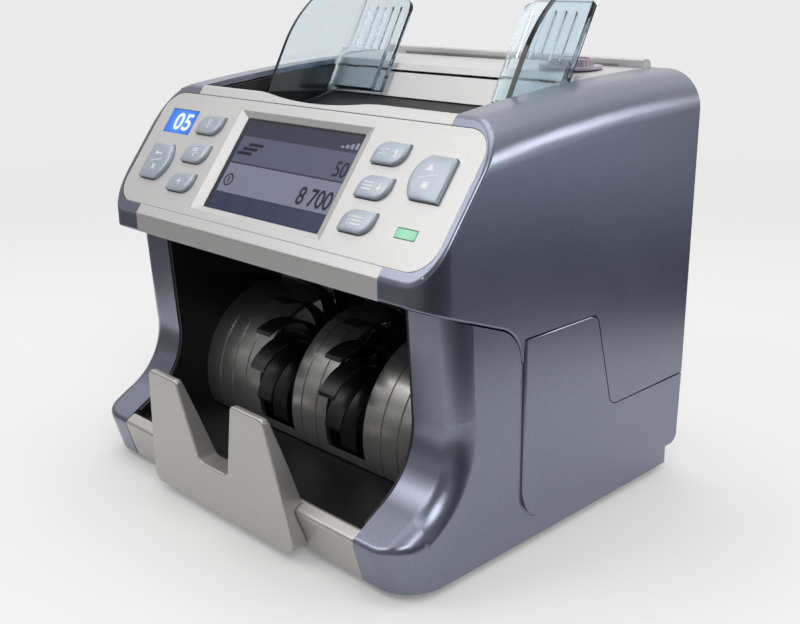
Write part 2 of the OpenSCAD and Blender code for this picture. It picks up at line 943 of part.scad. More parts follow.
// black hopper: side walls, floor with roller slots, front wall, shelf for the racks
module hopper_tray() {
  t = 2.5;
  yf = panel_top_y + 2.6;
  low_z = floor_a[1] - 9;
  ys = [for (i = [0:6]) yf + (tray_end - yf) * i / 6];
  color("black")
    difference() {
      union() {
        for (s = [0, 1])
          mirror([s, 0, 0])
            along_x(chute_in, chute_out)
              polygon(concat([[yf, low_z], [tray_end, low_z]],
                [for (i = [6:-1:0]) [ys[i], top_z(ys[i]) - wall - 0.6]]));
        // floor
        along_x(-chute_in, chute_in)
          polygon([floor_a, floor_b, [floor_b[0] + 0.7, floor_b[1] - t], [floor_a[0] + 0.7, floor_a[1] - t]]);
        // front wall
        along_x(-chute_in, chute_in)
          polygon([[yf, low_z - 12], [yf + 2, low_z - 12], [yf + 2, panel_top_z - 5], [yf, panel_top_z - 5]]);
        // shelf behind the back rest
        along_x(-chute_in, chute_in)
          translate([rest_y0 + 2, shelf_z - t])
            square([tray_end - rest_y0 - 2, t]);
        translate([0, pin_y, shelf_z - 0.5])
          cylinder(d = 4, h = rack_h + 2);
        // bosses that meet the side plates
        for (s = [0, 1], p = tray_fix)
          mirror([s, 0, 0])
            bar_x(p, chute_out - 1, plate_in, 4);
      }
      // roller slots in the floor
      for (x = [-28, 28])
        translate([x - 9, pick_ax[0] - 17, low_z - 3])
          cube([18, 30, 40]);
      for (x = [-60, 0, 60])
        translate([x - 11, floor_a[0] - 2, low_z - 8])
          cube([22, 22, 30]);
      // shaft and spindle holes
      bar_x(pick_ax, -200, 200, shaft_d / 2 + 1);
      bar_x(feed_ax, -200, 200, shaft_d / 2 + 1);
      translate([knob_at[0], knob_at[1], shelf_z - 25])
        cylinder(d = 9, h = 40);
      // thumb scoop left free above the front wall
      translate([-40, yf - 1, panel_top_z - 9])
        cube([80, 4, 10]);
      // fixing holes to the side plates
      for (p = tray_fix)
        bar_x(p, -200, 200, 1.6);
    }
}

// gap knob with its spindle
module gap_knob() {
  z0 = top_z(knob_at[1]) + 0.6;
  cap_r = knob_d * 0.365;
  color("thistle")
    translate([knob_at[0], knob_at[1], 0])
      union() {
        translate([0, 0, z0])
          cylinder(d = knob_d, h = 1.5);
        difference() {
          translate([0, 0, z0 + 1])
            cylinder(r = cap_r, h = 4.2);
          translate([0, 0, z0 + 4.2])
            cylinder(r = cap_r - 2, h = 3);
          for (i = [0:23])
            rotate(i * 15)
              translate([cap_r + 0.35, 0, z0 + 1.9])
                cylinder(r = 0.9, h = 6, $fn = 16);
        }
        translate([0, 0, rack_z - 19])
          cylinder(d = shaft_d, h = z0 - rack_z + 20);
      }
}

module pickup_shaft() {
  color("silver") {
    bar_x(pick_ax, -plate_out - 17, plate_out + 3, shaft_d / 2);
    bar_x(pick_ax, -bay_l2[1], -bay_l2[0], pul_main);
  }
}

module pickup_rollers() {
  color("dimgray")
    for (x = [-28, 28])
      difference() {
        bar_x(pick_ax, x - 8, x + 8, pick_R);
        bar_x(pick_ax, x - 9, x + 9, shaft_d / 2);
      }
}

module feed_shaft() {
  color("silver") {
    bar_x(feed_ax, -plate_out - 17, plate_out + 3, shaft_d / 2);
    bar_x(feed_ax, -bay_l2[1], -bay_l2[0], pul_main);
  }
}

module feed_rollers() {
  color("dimgray")
    for (x = [-60, 0, 60])
      difference() {
        bar_x(feed_ax, x - 10, x + 10, feed_R);
        bar_x(feed_ax, x - 11, x + 11, shaft_d / 2);
      }
}

module separator_pad() {
  color("saddlebrown")
    along_x(-22, 22)
      polygon([[panel_top_y + 4.6, feed_ax[1] - 8.5], [feed_ax[0] - feed_R - gap, feed_ax[1] - 4.5],
        [feed_ax[0] - feed_R - gap, feed_ax[1] + 3.5], [panel_top_y + 4.6, feed_ax[1] + 5.5]]);
}

module main_shaft() {
  color("silver") {
    bar_x(main_ax, -bay_l2[1], bay_r[1] + 1, shaft_d / 2);
    bar_x(main_ax, bay_r[0], bay_r[1], pul_main);
    bar_x(main_ax, -bay_l1[1], -bay_l1[0], pul_main);
    bar_x(main_ax, -bay_l2[1], -bay_l2[0], pul_main);
  }
}

module main_rollers() {
  color("dimgray")
    for (x = [-50, 0, 50])
      difference() {
        bar_x(main_ax, x - 11, x + 11, main_R);
        bar_x(main_ax, x - 12, x + 12, shaft_d / 2);
      }
}

module pinch_rollers() {
  color("gray") {
    bar_x(pinch_ax, -plate_out - 2, plate_out + 2, 2.5);
    for (x = [-50, 0, 50])
      bar_x(pinch_ax, x - 9, x + 9, 8);
  }
}

module sensor_bar(y, face) {
  color("darkslategray")
    union() {
      translate([-plate_in, y, main_ax[1] - 9])
        cube([2 * plate_in, 13, 18]);
      translate([-chute_in + 7.8, y + (face > 0 ? 13 : -1.5), main_ax[1] - 4])
        cube([2 * chute_in - 15.6, 1.5, 8]);
    }
}

module front_sensor_bar() {
  sensor_bar(main_ax[0] - main_R - 17, 1);
}

module rear_sensor_bar() {
  sensor_bar(pinch_ax[0] + 8 + 4, -1);
}

// black pocket: side walls that follow the legs, floor and ceiling
module pocket_liner() {
  z_in = bar_back_z - 2.4;
  color("black")
    difference() {
      union() {
        for (s = [0, 1])
          mirror([s, 0, 0])
            difference() {
              along_x(chute_in, chute_out)
                polygon([[bar_back_y + 3.2, 16], [96, 16], [96, 112], [27, lip_low(27) - 1],
                  [14, lip_low(14) - 1], [bar_back_y + 3.2, 60]]);
              liner_cut();
            }
        // floor
        along_x(-chute_in, chute_in)
          polygon([[bar_back_y + 3.2, z_in], [40, 22], [40, 19.5], [bar_back_y + 3.2, z_in - 2.5]]);
        // ceiling in two parts, with the note exit between them
        along_x(-chute_in, chute_in)
          polygon([[27.5, lip_low(27.5)], [52, 117], [52, 114.6], [27.5, lip_low(27.5) - 2.4]]);
        along_x(-chute_in, chute_in)
          polygon([[62, 115.4], [96, 112], [96, 109.8], [62, 113.2]]);
        // bosses that meet the side plates
        for (s = [0, 1], p = [[34, 60], [92, 100], [34, 30]])
          mirror([s, 0, 0])
            bar_x(p, chute_out - 1, plate_in, 4);
      }
      bar_x(stack_ax, -200, 200, shaft_d / 2 + 1);
    }
}

// the leg surface carried inwards, set back by the liner margin
module liner_cut() {
  off = 0.6;
  top_p = [leg_cy + (leg_R + off) * cos(leg_lean), leg_cz + (leg_R + off) * sin(leg_lean)];
  end_p = [leg_cy + (leg_R + off) * sin(slope_ang), leg_cz - (leg_R + off) * cos(slope_ang)];
  up = 80;
  along_x(chute_in - 1, chute_out + 1)
    polygon(concat([[-80, 160], top_p + up * [-sin(leg_lean), cos(leg_lean)]],
      [for (i = [0:12])
        let (a = leg_lean - i * (90 - slope_ang + leg_lean) / 12)
        [leg_cy + (leg_R + off) * cos(a), leg_cz + (leg_R + off) * sin(a)]],
      [end_p - 60 * [cos(slope_ang), sin(slope_ang)], [-80, 0]]));
}

// curved pocket guide with ring grooves and two wheel slots
module drum_guide() {
  a0 = 45;
  a1 = 201;
  color("gray")
    difference() {
      translate([0, drum_c[0], drum_c[1]])
        rotate([0, -90, 180])
          rotate([0, 0, a0 - 90])
            rotate_extrude(angle = a1 - a0, $fn = 180)
              difference() {
                translate([drum_R - 2.6, -chute_in])
                  square([2.6, 2 * chute_in]);
                for (x = [13.8, 25.8, 37.8], s = [-1, 1])
                  translate([drum_R - 0.7, s * (chute_in - x) - 0.5])
                    square([2, 1]);
                for (x = [-6, 6])
                  translate([drum_R - 0.7, x - 0.5])
                    square([2, 1]);
              }
      for (s = [-1, 1])
        bar_x(stack_ax, s > 0 ? 14 : -43, s > 0 ? 43 : -14, wheel_R + 2);
      bar_x(stack_ax, -200, 200, shaft_d / 2 + 1);
    }
}

module finger_shaft() {
  color("silver") {
    bar_x(stack_ax, -bay_l1[1] - 1, plate_out + 3, shaft_d / 2);
    bar_x(stack_ax, -bay_l1[1], -bay_l1[0], pul_main);
  }
}

// two wheels with swept-back fingers
module finger_wheels() {
  hub = 11;
  color("dimgray")
    for (x = [-28.5, 28.5])
      translate([x - 8, stack_ax[0], stack_ax[1]])
        rotate([90, 0, 90])
          difference() {
            union() {
              cylinder(r = hub, h = 16);
              for (i = [0:fingers - 1])
                rotate(i * 360 / fingers)
                  finger(hub);
            }
            translate([0, 0, -1])
              cylinder(d = shaft_d, h = 18);
          }
}

// one finger: a thin arc from the hub to the tip circle
module finger(hub) {
  R = 30;
  translate([0, 0, 2])
    linear_extrude(height = 12)
      intersection() {
        difference() {
          circle(wheel_R, $fn = 96);
          circle(hub - 0.6);
        }
        translate([hub * 0.5 + 6, R - 7])
          difference() {
            circle(R, $fn = 96);
            circle(R - 1.3, $fn = 96);
          }
        translate([hub * 0.5, -20])
          square([60, 43]);
      }
}

module side_plate() {
  difference() {
    along_x(plate_in, plate_out)
      polygon([[30, base_z + 3], [tray_end, base_z + 3], [tray_end, rack_z - 4],
        [floor_a[0] + 16, floor_a[1] + 16], [floor_a[0] - 16, floor_a[1] - 25], [30, 116]]);
    for (a = [stack_ax, main_ax, feed_ax, pick_ax])
      bar_x(a, plate_in - 1, plate_out + 1, shaft_d / 2 + run);
    bar_x(pinch_ax, plate_in - 1, plate_out + 1, 2.5 + run);
    for (p = tray_fix)
      bar_x(p, plate_in - 1, plate_out + 1, 1.6);
  }
}

module right_side_plate() {
  color("silver")
    difference() {
      side_plate();
      bar_x(motor_ax, plate_in - 1, plate_out + 1, 6);
    }
}

module left_side_plate() {
  color("silver")
    mirrored_x()
      side_plate();
}

module drive_motor() {
  color("dimgray")
    difference() {
      union() {
        bar_x(motor_ax, plate_in - 63.2, plate_in, 19);
        bar_x(motor_ax, plate_in - 1, plate_out + 1.5, 5.8);
      }
      bar_x(motor_ax, plate_out - 8, plate_out + 5, 2.5 + run);
    }
}

module motor_pulley() {
  color("silver")
    union() {
      bar_x(motor_ax, plate_out - 7, bay_r[1] + 1, 2.5);
      bar_x(motor_ax, bay_r[0], bay_r[1], pul_motor);
    }
}

// a closed belt round a list of [y, z, r] pulleys, drawn in Y and Z
module belt(p, x0, x1) {
  color("black")
    along_x(x0, x1)
      difference() {
        hull()
          for (q = p)
            translate([q[0], q[1]])
              circle(q[2] + gap + belt_t, $fn = 72);
        hull()
          for (q = p)
            translate([q[0], q[1]])
              circle(q[2] + gap, $fn = 72);
      }
}

module drive_belt() {
  belt([[main_ax[0], main_ax[1], pul_main], [motor_ax[0], motor_ax[1], pul_motor]],
    bay_r[0] + 0.5, bay_r[1] - 0.5);
}

module feed_belt() {
  belt([[main_ax[0], main_ax[1], pul_main], [feed_ax[0], feed_ax[1], pul_main],
    [pick_ax[0], pick_ax[1], pul_main]], -bay_l2[1] + 0.5, -bay_l2[0] - 0.5);
}

module finger_belt() {
  belt([[main_ax[0], main_ax[1], pul_main], [stack_ax[0], stack_ax[1], pul_main]],
    -bay_l1[1] + 0.5, -bay_l1[0] - 0.5);
}

module mainboard() {
  color("darkgreen") {
    translate([6, inner_y, 16])
      cube([strip_half - 14, board_d, board_t]);
    for (x = [12, strip_half - 14], y = [5, board_d - 5])
      translate([x, inner_y + y, base_z + 3])
        cylinder(d = 5, h = 16 - base_z - 3);
    translate([28, inner_y + board_d * 0.27, 16 + board_t])
      cube([16, 16, 2.4]);
    translate([52, inner_y + board_d * 0.24, 16 + board_t])
      cube([20, 10, 6]);
    translate([14, inner_y + board_d - 22, 16 + board_t])
      cube([30, 8, 9]);
  }
}

module power_supply() {
  color("silver")
    difference() {
      translate([-6 - supply_w, inner_y, base_z + 3])
        cube([supply_w, supply_d, 40]);
      for (i = [0:7])
        translate([2 - supply_w + i * (supply_w - 12) / 8, inner_y + 8, base_z + 40])
          cube([3, supply_d - 16, 5]);
    }
}

// fixed back panel below the door, with lugs for the hinge pins and a few vents
module rear_panel() {
  color("dimgray")
    difference() {
      union() {
        along_x(-strip_half, strip_half)
          polygon([[back_y - back_t, base_step[1]], [back_y, base_step[1]], [back_y, 57],
            [back_y - back_t, 57]]);
        for (s = [-1, 1], x = [42, 12])
          hinge_lug(s * (strip_half - x));
        for (s = [0, 1])
          mirror([s, 0, 0])
            bar_x(hinge, strip_half - 44, strip_half - 8, 2);
      }
      translate([inlet_at[0] - 14 - fit, back_y - 10, inlet_at[1] - 10 - fit])
        cube([28 + 2 * fit, 20, 20 + 2 * fit]);
      translate([switch_at[0] - 7 - fit, back_y - 10, switch_at[1] - 10 - fit])
        cube([14 + 2 * fit, 20, 20 + 2 * fit]);
      for (i = [0:6])
        translate([20 + i * 9, back_y - 10, 26])
          cube([3.2, 20, 20]);
    }
}

module hinge_lug(x) {
  along_x(x - 3, x + 3)
    union() {
      translate([hinge[0], hinge[1]])
        circle(3.4);
      translate([hinge[0] - 3.4, 55])
        square([back_y - hinge[0] + 3.4, hinge[1] - 55]);
    }
}

module rear_door() {
  yo = body_d;
  yi = body_d - 3;
  lip = body_d - 8;
  zt = top_rear_z + 4.6;
  color("gainsboro")
    difference() {
      union() {
        along_x(-strip_half + 0.6, strip_half - 0.6)
          polygon(concat([[yi, door_lo], [yo, door_lo]],
            corner([yo, door_lo], [yo, zt], [lip, zt], 4),
            corner([yo, zt], [lip + 1, zt], [lip, zt - 8], 1.2, 3),
            [[lip, zt - 8], [yi, zt - 16]]));
        for (s = [0, 1])
          mirror([s, 0, 0])
            along_x(strip_half - 38, strip_half - 16)
              union() {
                translate([hinge[0], hinge[1]])
                  circle(3.5);
                translate([hinge[0] + 0.6, hinge[1]])
                  square([yo - hinge[0] - 0.6, door_lo - hinge[1] + 1]);
              }
      }
      for (s = [0, 1])
        mirror([s, 0, 0])
          bar_x(hinge, strip_half - 46, strip_half - 6, 2 + run);
      // finger cove along the front of the lip
      bar_x([lip - 7.2, zt - 6.4], -strip_half + 16, strip_half - 16, 9);
    }
}

module front_bar() {
  color("silver")
    along_x(-strip_half, strip_half)
      polygon(concat([[bar_back_y, bar_back_z]],
        corner([bar_back_y, bar_back_z], [toe_y, ridge_z],
          [toe_y + (ridge_z - base_z) * tan(under_ang), base_z], bar_r, 6),
        [[toe_y + (ridge_z - base_z) * tan(under_ang), base_z], [bar_back_y + 3, base_z],
         [bar_back_y + 3, bar_back_z - 2.6]]));
}

// the wedge-shaped pocket plate with its notch, over the front bar
module pocket_plate() {
  top_h = plate_half - 12;
  zb = base_z + 1;
  color("silver")
    difference() {
      intersection() {
        along_x(-plate_half, plate_half)
          polygon([[plate_foot, zb], [plate_front, plate_top], [plate_front + 4, plate_top],
            [plate_front + 9.8, plate_top - 20], [bar_back_y - 1.2, bar_back_z + 1.6],
            [bar_back_y - 1.2, zb]]);
        along_y(-60, 20)
          polygon(concat(
            corner([top_h, plate_top], [plate_half, zb], [-plate_half, zb], 6),
            corner([plate_half, zb], [-plate_half, zb], [-top_h, plate_top], 6),
            corner([-plate_half, zb], [-top_h, plate_top], [-23, plate_top], 3.5, 4),
            corner([-top_h, plate_top], [-23, plate_top], [-12, 31.5], 3, 4),
            corner([-23, plate_top], [-12, 31.5], [12, 31.5], 3.5, 4),
            corner([-12, 31.5], [12, 31.5], [23, plate_top], 3.5, 4),
            corner([12, 31.5], [23, plate_top], [top_h, plate_top], 3, 4),
            corner([23, plate_top], [top_h, plate_top], [plate_half, zb], 3.5, 4)));
      }
      // seat over the bar
      along_x(-plate_half - 1, plate_half + 1)
        polygon([[bar_back_y + 5, bar_back_z + 5 * tan(slope_ang)], [toe_y, ridge_z],
          [toe_y + (ridge_z - base_z) * tan(under_ang), base_z], [bar_back_y + 5, base_z]]);
    }
}

module power_inlet() {
  color("black")
    difference() {
      union() {
        translate([inlet_at[0] - 14, back_y - 18, inlet_at[1] - 10])
          cube([28, 18, 20]);
        translate([inlet_at[0] - 16, back_y, inlet_at[1] - 12])
          cube([32, 1.8, 24]);
      }
      translate([inlet_at[0] - 11.5, back_y - 15, inlet_at[1] - 7.5])
        cube([23, 30, 15]);
      for (x = [-1, 1])
        translate([inlet_at[0] + x * 14, back_y - 1, inlet_at[1]])
          rotate([-90, 0, 0])
            cylinder(d = 0.8, h = 5);
    }
}

// rocker seen at rest with its lower half pressed in
module power_rocker() {
  color("black")
    translate([switch_at[0], back_y - 3, switch_at[1]])
      union() {
        rotate([-9, 0, 0])
          along_x(-6.4, 6.4)
            polygon([[0, -8.6], [3.4, -8.6], [2.2, 0], [3.4, 8.6], [0, 8.6], [-4, 2], [-4, -2]]);
        bar_x([0, 0], -7, 7, 1.2);
      }
}

module feet() {
  color("black")
    for (x = [-1, 1], y = foot_at[1])
      translate([x * foot_at[0], y, 0])
        difference() {
          union() {
            cylinder(d = 18, h = base_z);
            cylinder(d = 3.2, h = base_z + 2.8);
          }
          translate([0, 0, -1])
            cylinder(d = 7, h = 2.6);
        }
}

module screws() {
  color("silver")
    for (s = [-1, 1], p = tray_fix)
      translate([s * (plate_out + 2), p[0], p[1]])
        rotate([0, -s * 90, 0]) {
          cylinder(d = 3, h = plate_out - chute_in + 1.5);
          cylinder(d = 5.6, h = 2);
        }
}

// the shared frame has its origin under the middle of the box
module placed() {
  translate([0, -y_mid, 0])
    children();
}

placed() base_pan();
placed() right_upper_shell();
placed() left_upper_shell();
placed() right_lower_shell();
placed() left_lower_shell();
placed() fascia();
placed() top_trim();
placed() lip_trim();
placed() top_cover();
placed() rear_door();
placed() rear_panel();
placed() front_bar();
placed() pocket_plate();
placed() display_glass();
placed() display_module();
placed() digit_window();
placed() status_lens();
placed() key_start();
placed() key_up_arrow();
placed() key_down_arrow();
placed() key_report();
placed() key_back();
placed() key_select();
placed() key_batch();
placed() key_add();
placed() keypad_board();
placed() hopper_tray();
placed() right_guide();
placed() left_guide();
placed() right_rack();
placed() left_rack();
placed() rack_pinion();
placed() gap_knob();
placed() pickup_shaft();
placed() pickup_rollers();
placed() feed_shaft();
placed() feed_rollers();
placed() separator_pad();
placed() main_shaft();
placed() main_rollers();
placed() pinch_rollers();
placed() front_sensor_bar();
placed() rear_sensor_bar();
placed() pocket_liner();
placed() drum_guide();
placed() finger_shaft();
placed() finger_wheels();
placed() right_side_plate();
placed() left_side_plate();
placed() drive_motor();
placed() motor_pulley();
placed() drive_belt();
placed() feed_belt();
placed() finger_belt();
placed() mainboard();
placed() power_supply();
placed() power_inlet();
placed() power_rocker();
placed() feet();
placed() screws();
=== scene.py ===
import math

import bmesh
import bpy
from mathutils import Matrix, Vector


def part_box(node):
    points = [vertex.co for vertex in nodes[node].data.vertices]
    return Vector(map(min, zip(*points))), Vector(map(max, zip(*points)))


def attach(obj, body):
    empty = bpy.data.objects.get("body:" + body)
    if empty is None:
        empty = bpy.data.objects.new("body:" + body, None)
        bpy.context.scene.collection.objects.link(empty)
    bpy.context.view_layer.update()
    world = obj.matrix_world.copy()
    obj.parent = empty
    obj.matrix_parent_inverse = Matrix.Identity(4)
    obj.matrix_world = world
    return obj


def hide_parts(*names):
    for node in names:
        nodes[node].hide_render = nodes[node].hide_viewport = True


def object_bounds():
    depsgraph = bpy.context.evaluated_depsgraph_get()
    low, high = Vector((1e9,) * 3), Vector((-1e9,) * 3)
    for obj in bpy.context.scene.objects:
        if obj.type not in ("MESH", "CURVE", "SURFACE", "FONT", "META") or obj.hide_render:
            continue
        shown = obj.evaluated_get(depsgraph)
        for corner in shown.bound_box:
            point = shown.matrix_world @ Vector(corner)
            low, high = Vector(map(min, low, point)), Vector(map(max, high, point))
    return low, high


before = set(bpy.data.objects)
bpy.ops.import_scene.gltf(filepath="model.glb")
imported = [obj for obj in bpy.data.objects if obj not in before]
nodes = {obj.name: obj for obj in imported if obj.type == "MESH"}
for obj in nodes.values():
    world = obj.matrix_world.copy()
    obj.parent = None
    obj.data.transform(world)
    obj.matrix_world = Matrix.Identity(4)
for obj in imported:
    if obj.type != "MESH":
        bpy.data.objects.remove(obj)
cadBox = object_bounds()
mm = 0.001
print("frame loaded:", len(nodes), "solids")

# the sloping control panel: u to the right, v up the slope, n out of its face, in mm
panel = {"bend": (-84.85, 143.5), "slope": 52.6, "middle": 37}
slope = math.radians(panel["slope"])
panelPlace = Matrix((
    (mm, 0, 0, 0),
    (0, math.cos(slope) * mm, -math.sin(slope) * mm, panel["bend"][0] * mm),
    (0, math.sin(slope) * mm, math.cos(slope) * mm, panel["bend"][1] * mm),
    (0, 0, 0, 1)))


def toLinear(hexColour):
    parts = [int(hexColour[i:i + 2], 16) / 255 for i in (1, 3, 5)]
    return tuple(c / 12.92 if c <= 0.04045 else ((c + 0.055) / 1.055) ** 2.4 for c in parts) + (1.0,)


def perMm(size):
    return 1000.0 / size  # texture scale for features of that many millimetres


def addNode(tree, kind, inputs=(), stops=(), **settings):
    node = tree.nodes.new(kind)
    for name, value in settings.items():
        setattr(node, name, value)
    for name, value in dict(inputs).items():
        if isinstance(value, bpy.types.NodeSocket):
            tree.links.new(value, node.inputs[name])
        else:
            node.inputs[name].default_value = value
    for i, (position, colour) in enumerate(stops):
        ramp = node.color_ramp.elements
        stop = ramp[i] if i < len(ramp) else ramp.new(position)
        stop.position, stop.color = position, colour
    return node


def startMaterial(name):
    material = bpy.data.materials.new(name)
    material.use_nodes = True
    tree = material.node_tree
    tree.nodes.clear()
    place = addNode(tree, "ShaderNodeTexCoord").outputs["Object"]
    return material, tree, place


paintFilm = {"roughDrift": 0.04, "peelDeepMm": 0.02}


# sprayed metallic lacquer on moulded ABS: the sheen follows the form, fine flakes sparkle
# beside the highlights, and the film has a faint orange peel
def sprayedPaint(name, look):
    material, tree, place = startMaterial(name)
    cells = addNode(tree, "ShaderNodeTexVoronoi",
                    {"Vector": place, "Scale": perMm(look["flakeMm"])})
    pick = addNode(tree, "ShaderNodeSeparateColor", {"Color": cells.outputs["Color"]})
    tone = addNode(tree, "ShaderNodeValToRGB", {"Fac": pick.outputs["Red"]}, [
        (0.0, toLinear(look["shade"])), (0.3, toLinear(look["colour"])),
        (0.82, toLinear(look["colour"])), (1.0, toLinear(look["flake"]))])
    cloud = addNode(tree, "ShaderNodeTexNoise",
                    {"Vector": place, "Scale": perMm(look["cloudMm"]), "Detail": 2.0})
    rough = addNode(tree, "ShaderNodeMapRange", {
        "Value": cloud.outputs["Fac"], "To Min": look["rough"] - paintFilm["roughDrift"],
        "To Max": look["rough"] + paintFilm["roughDrift"]})
    peel = addNode(tree, "ShaderNodeTexNoise",
                   {"Vector": place, "Scale": perMm(look["peelMm"]), "Detail": 1.0})
    bump = addNode(tree, "ShaderNodeBump", {
        "Height": peel.outputs["Fac"], "Strength": look["peel"],
        "Distance": paintFilm["peelDeepMm"] * mm})
    surface = addNode(tree, "ShaderNodeBsdfPrincipled", {
        "Base Color": tone.outputs["Color"], "Metallic": look["metallic"],
        "Roughness": rough.outputs["Result"], "Normal": bump.outputs["Normal"],
        "Coat Weight": look["coat"], "Coat Roughness": look["coatRough"]})
    addNode(tree, "ShaderNodeOutputMaterial", {"Surface": surface.outputs["BSDF"]})
    return material


# flakes are drawn 0.3 mm wide, coarser than the real 0.05 mm, so that they show
paintLooks = {
    "blueGreyMetallicPaint": {
        "colour": "#838797", "shade": "#7e8292", "flake": "#9397a7", "flakeMm": 0.3, "cloudMm": 35,
        "rough": 0.29, "peelMm": 1.4, "peel": 0.06, "metallic": 0.88, "coat": 0.12, "coatRough": 0.25},
    "satinSilverPaint": {
        "colour": "#d0cfce", "shade": "#cbcac9", "flake": "#dbdad9", "flakeMm": 0.3, "cloudMm": 40,
        "rough": 0.42, "peelMm": 1.2, "peel": 0.05, "metallic": 0.55, "coat": 0.0, "coatRough": 0.3},
    "satinBarPaint": {
        "colour": "#c0bdb9", "shade": "#bab7b3", "flake": "#cdcac6", "flakeMm": 0.3, "cloudMm": 40,
        "rough": 0.36, "peelMm": 1.2, "peel": 0.06, "metallic": 0.68, "coat": 0.0, "coatRough": 0.3},
    "satinDrumPaint": {
        "colour": "#b4b2af", "shade": "#acaaa7", "flake": "#c4c2bf", "flakeMm": 0.3, "cloudMm": 30,
        "rough": 0.27, "peelMm": 1.0, "peel": 0.05, "metallic": 0.8, "coat": 0.0, "coatRough": 0.3},
}


mouldSkin = {"toneMm": 18, "roughDrift": 0.05, "grainDeepMm": 0.05}


# moulded plastic and rubber: an even colour with a fine eroded grain from the tool
def mouldedPlastic(name, look):
    material, tree, place = startMaterial(name)
    cloud = addNode(tree, "ShaderNodeTexNoise",
                    {"Vector": place, "Scale": perMm(mouldSkin["toneMm"]), "Detail": 3.0})
    tone = addNode(tree, "ShaderNodeValToRGB", {"Fac": cloud.outputs["Fac"]}, [
        (0.3, toLinear(look["shade"])), (0.7, toLinear(look["colour"]))])
    grain = addNode(tree, "ShaderNodeTexNoise",
                    {"Vector": place, "Scale": perMm(look["grainMm"]), "Detail": 2.0})
    bump = addNode(tree, "ShaderNodeBump", {
        "Height": grain.outputs["Fac"], "Strength": look["grain"],
        "Distance": mouldSkin["grainDeepMm"] * mm})
    rough = addNode(tree, "ShaderNodeMapRange", {
        "Value": grain.outputs["Fac"], "To Min": look["rough"] - mouldSkin["roughDrift"],
        "To Max": look["rough"] + mouldSkin["roughDrift"]})
    surface = addNode(tree, "ShaderNodeBsdfPrincipled", {
        "Base Color": tone.outputs["Color"], "Roughness": rough.outputs["Result"],
        "Normal": bump.outputs["Normal"], "Metallic": look.get("metallic", 0.0),
        "IOR": look["ior"]})
    addNode(tree, "ShaderNodeOutputMaterial", {"Surface": surface.outputs["BSDF"]})
    return material


plasticLooks = {
    "mouldedKeyAbs": {"colour": "#b4bdc7", "shade": "#aab3be", "rough": 0.34, "grainMm": 0.4, "grain": 0.05,
                      "metallic": 0.3, "ior": 1.53},
    "blackMouldedAbs": {"colour": "#141416", "shade": "#0e0e10", "rough": 0.5, "grainMm": 0.5, "grain": 0.25,
                        "ior": 1.53},
    "darkMouldedAbs": {"colour": "#2f3032", "shade": "#27282a", "rough": 0.46, "grainMm": 0.5, "grain": 0.2,
                       "ior": 1.53},
    "blackFingerAcetal": {"colour": "#1a1a1c", "shade": "#141416", "rough": 0.3, "grainMm": 0.6,
                          "grain": 0.05, "ior": 1.48},
    "whiteKeyInk": {"colour": "#f4f5f4", "shade": "#eceded", "rough": 0.5, "grainMm": 0.3, "grain": 0.1,
                    "ior": 1.5},
    "darkScreenInk": {"colour": "#1b2030", "shade": "#171b29", "rough": 0.3, "grainMm": 0.3, "grain": 0.05,
                      "ior": 1.3},
    "paleScreenInk": {"colour": "#9a9bb0", "shade": "#9092a8", "rough": 0.3, "grainMm": 0.3, "grain": 0.05,
                      "ior": 1.3},
    "tabScreenInk": {"colour": "#262f4c", "shade": "#222a45", "rough": 0.3, "grainMm": 0.3, "grain": 0.05,
                     "ior": 1.3},
    "ivoryAcetal": {"colour": "#e6e2d4", "shade": "#dcd7c8", "rough": 0.38, "grainMm": 0.6, "grain": 0.04,
                    "ior": 1.48},
    "lilacKnobAbs": {"colour": "#b1a7b5", "shade": "#a59ba9", "rough": 0.3, "grainMm": 0.5, "grain": 0.05,
                     "metallic": 0.35, "ior": 1.53},
    "rollerRubber": {"colour": "#3a3a3c", "shade": "#2d2d2f", "rough": 0.72, "grainMm": 0.7, "grain": 0.4,
                     "ior": 1.52},
    "brownPadRubber": {"colour": "#6d4a35", "shade": "#5d3e2c", "rough": 0.75, "grainMm": 0.8, "grain": 0.45,
                       "ior": 1.52},
    "beltRubber": {"colour": "#1d1d1e", "shade": "#161617", "rough": 0.68, "grainMm": 0.6, "grain": 0.3,
                   "ior": 1.52},
    "footRubber": {"colour": "#202021", "shade": "#181819", "rough": 0.8, "grainMm": 0.7, "grain": 0.4,
                   "ior": 1.52},
    "motorEnamel": {"colour": "#2a2b2d", "shade": "#222325", "rough": 0.35, "grainMm": 0.9, "grain": 0.1,
                    "ior": 1.5},
}


metalSkin = {"roughDrift": 0.07, "lines": 0.15, "lineDeepMm": 0.02}


# bare and plated metal: rolled, turned or brushed, so the fine lines run one way
def workedMetal(name, look):
    material, tree, place = startMaterial(name)
    along = addNode(tree, "ShaderNodeMapping", {"Vector": place, "Scale": look["stretch"]})
    lines = addNode(tree, "ShaderNodeTexNoise",
                    {"Vector": along.outputs["Vector"], "Scale": perMm(look["lineMm"]), "Detail": 3.0})
    tone = addNode(tree, "ShaderNodeValToRGB", {"Fac": lines.outputs["Fac"]}, [
        (0.25, toLinear(look["shade"])), (0.75, toLinear(look["colour"]))])
    rough = addNode(tree, "ShaderNodeMapRange", {
        "Value": lines.outputs["Fac"], "To Min": look["rough"] - metalSkin["roughDrift"],
        "To Max": look["rough"] + metalSkin["roughDrift"]})
    bump = addNode(tree, "ShaderNodeBump", {
        "Height": lines.outputs["Fac"], "Strength": metalSkin["lines"],
        "Distance": metalSkin["lineDeepMm"] * mm})
    surface = addNode(tree, "ShaderNodeBsdfPrincipled", {
        "Base Color": tone.outputs["Color"], "Metallic": 1.0, "Roughness": rough.outputs["Result"],
        "Normal": bump.outputs["Normal"]})
    addNode(tree, "ShaderNodeOutputMaterial", {"Surface": surface.outputs["BSDF"]})
    return material


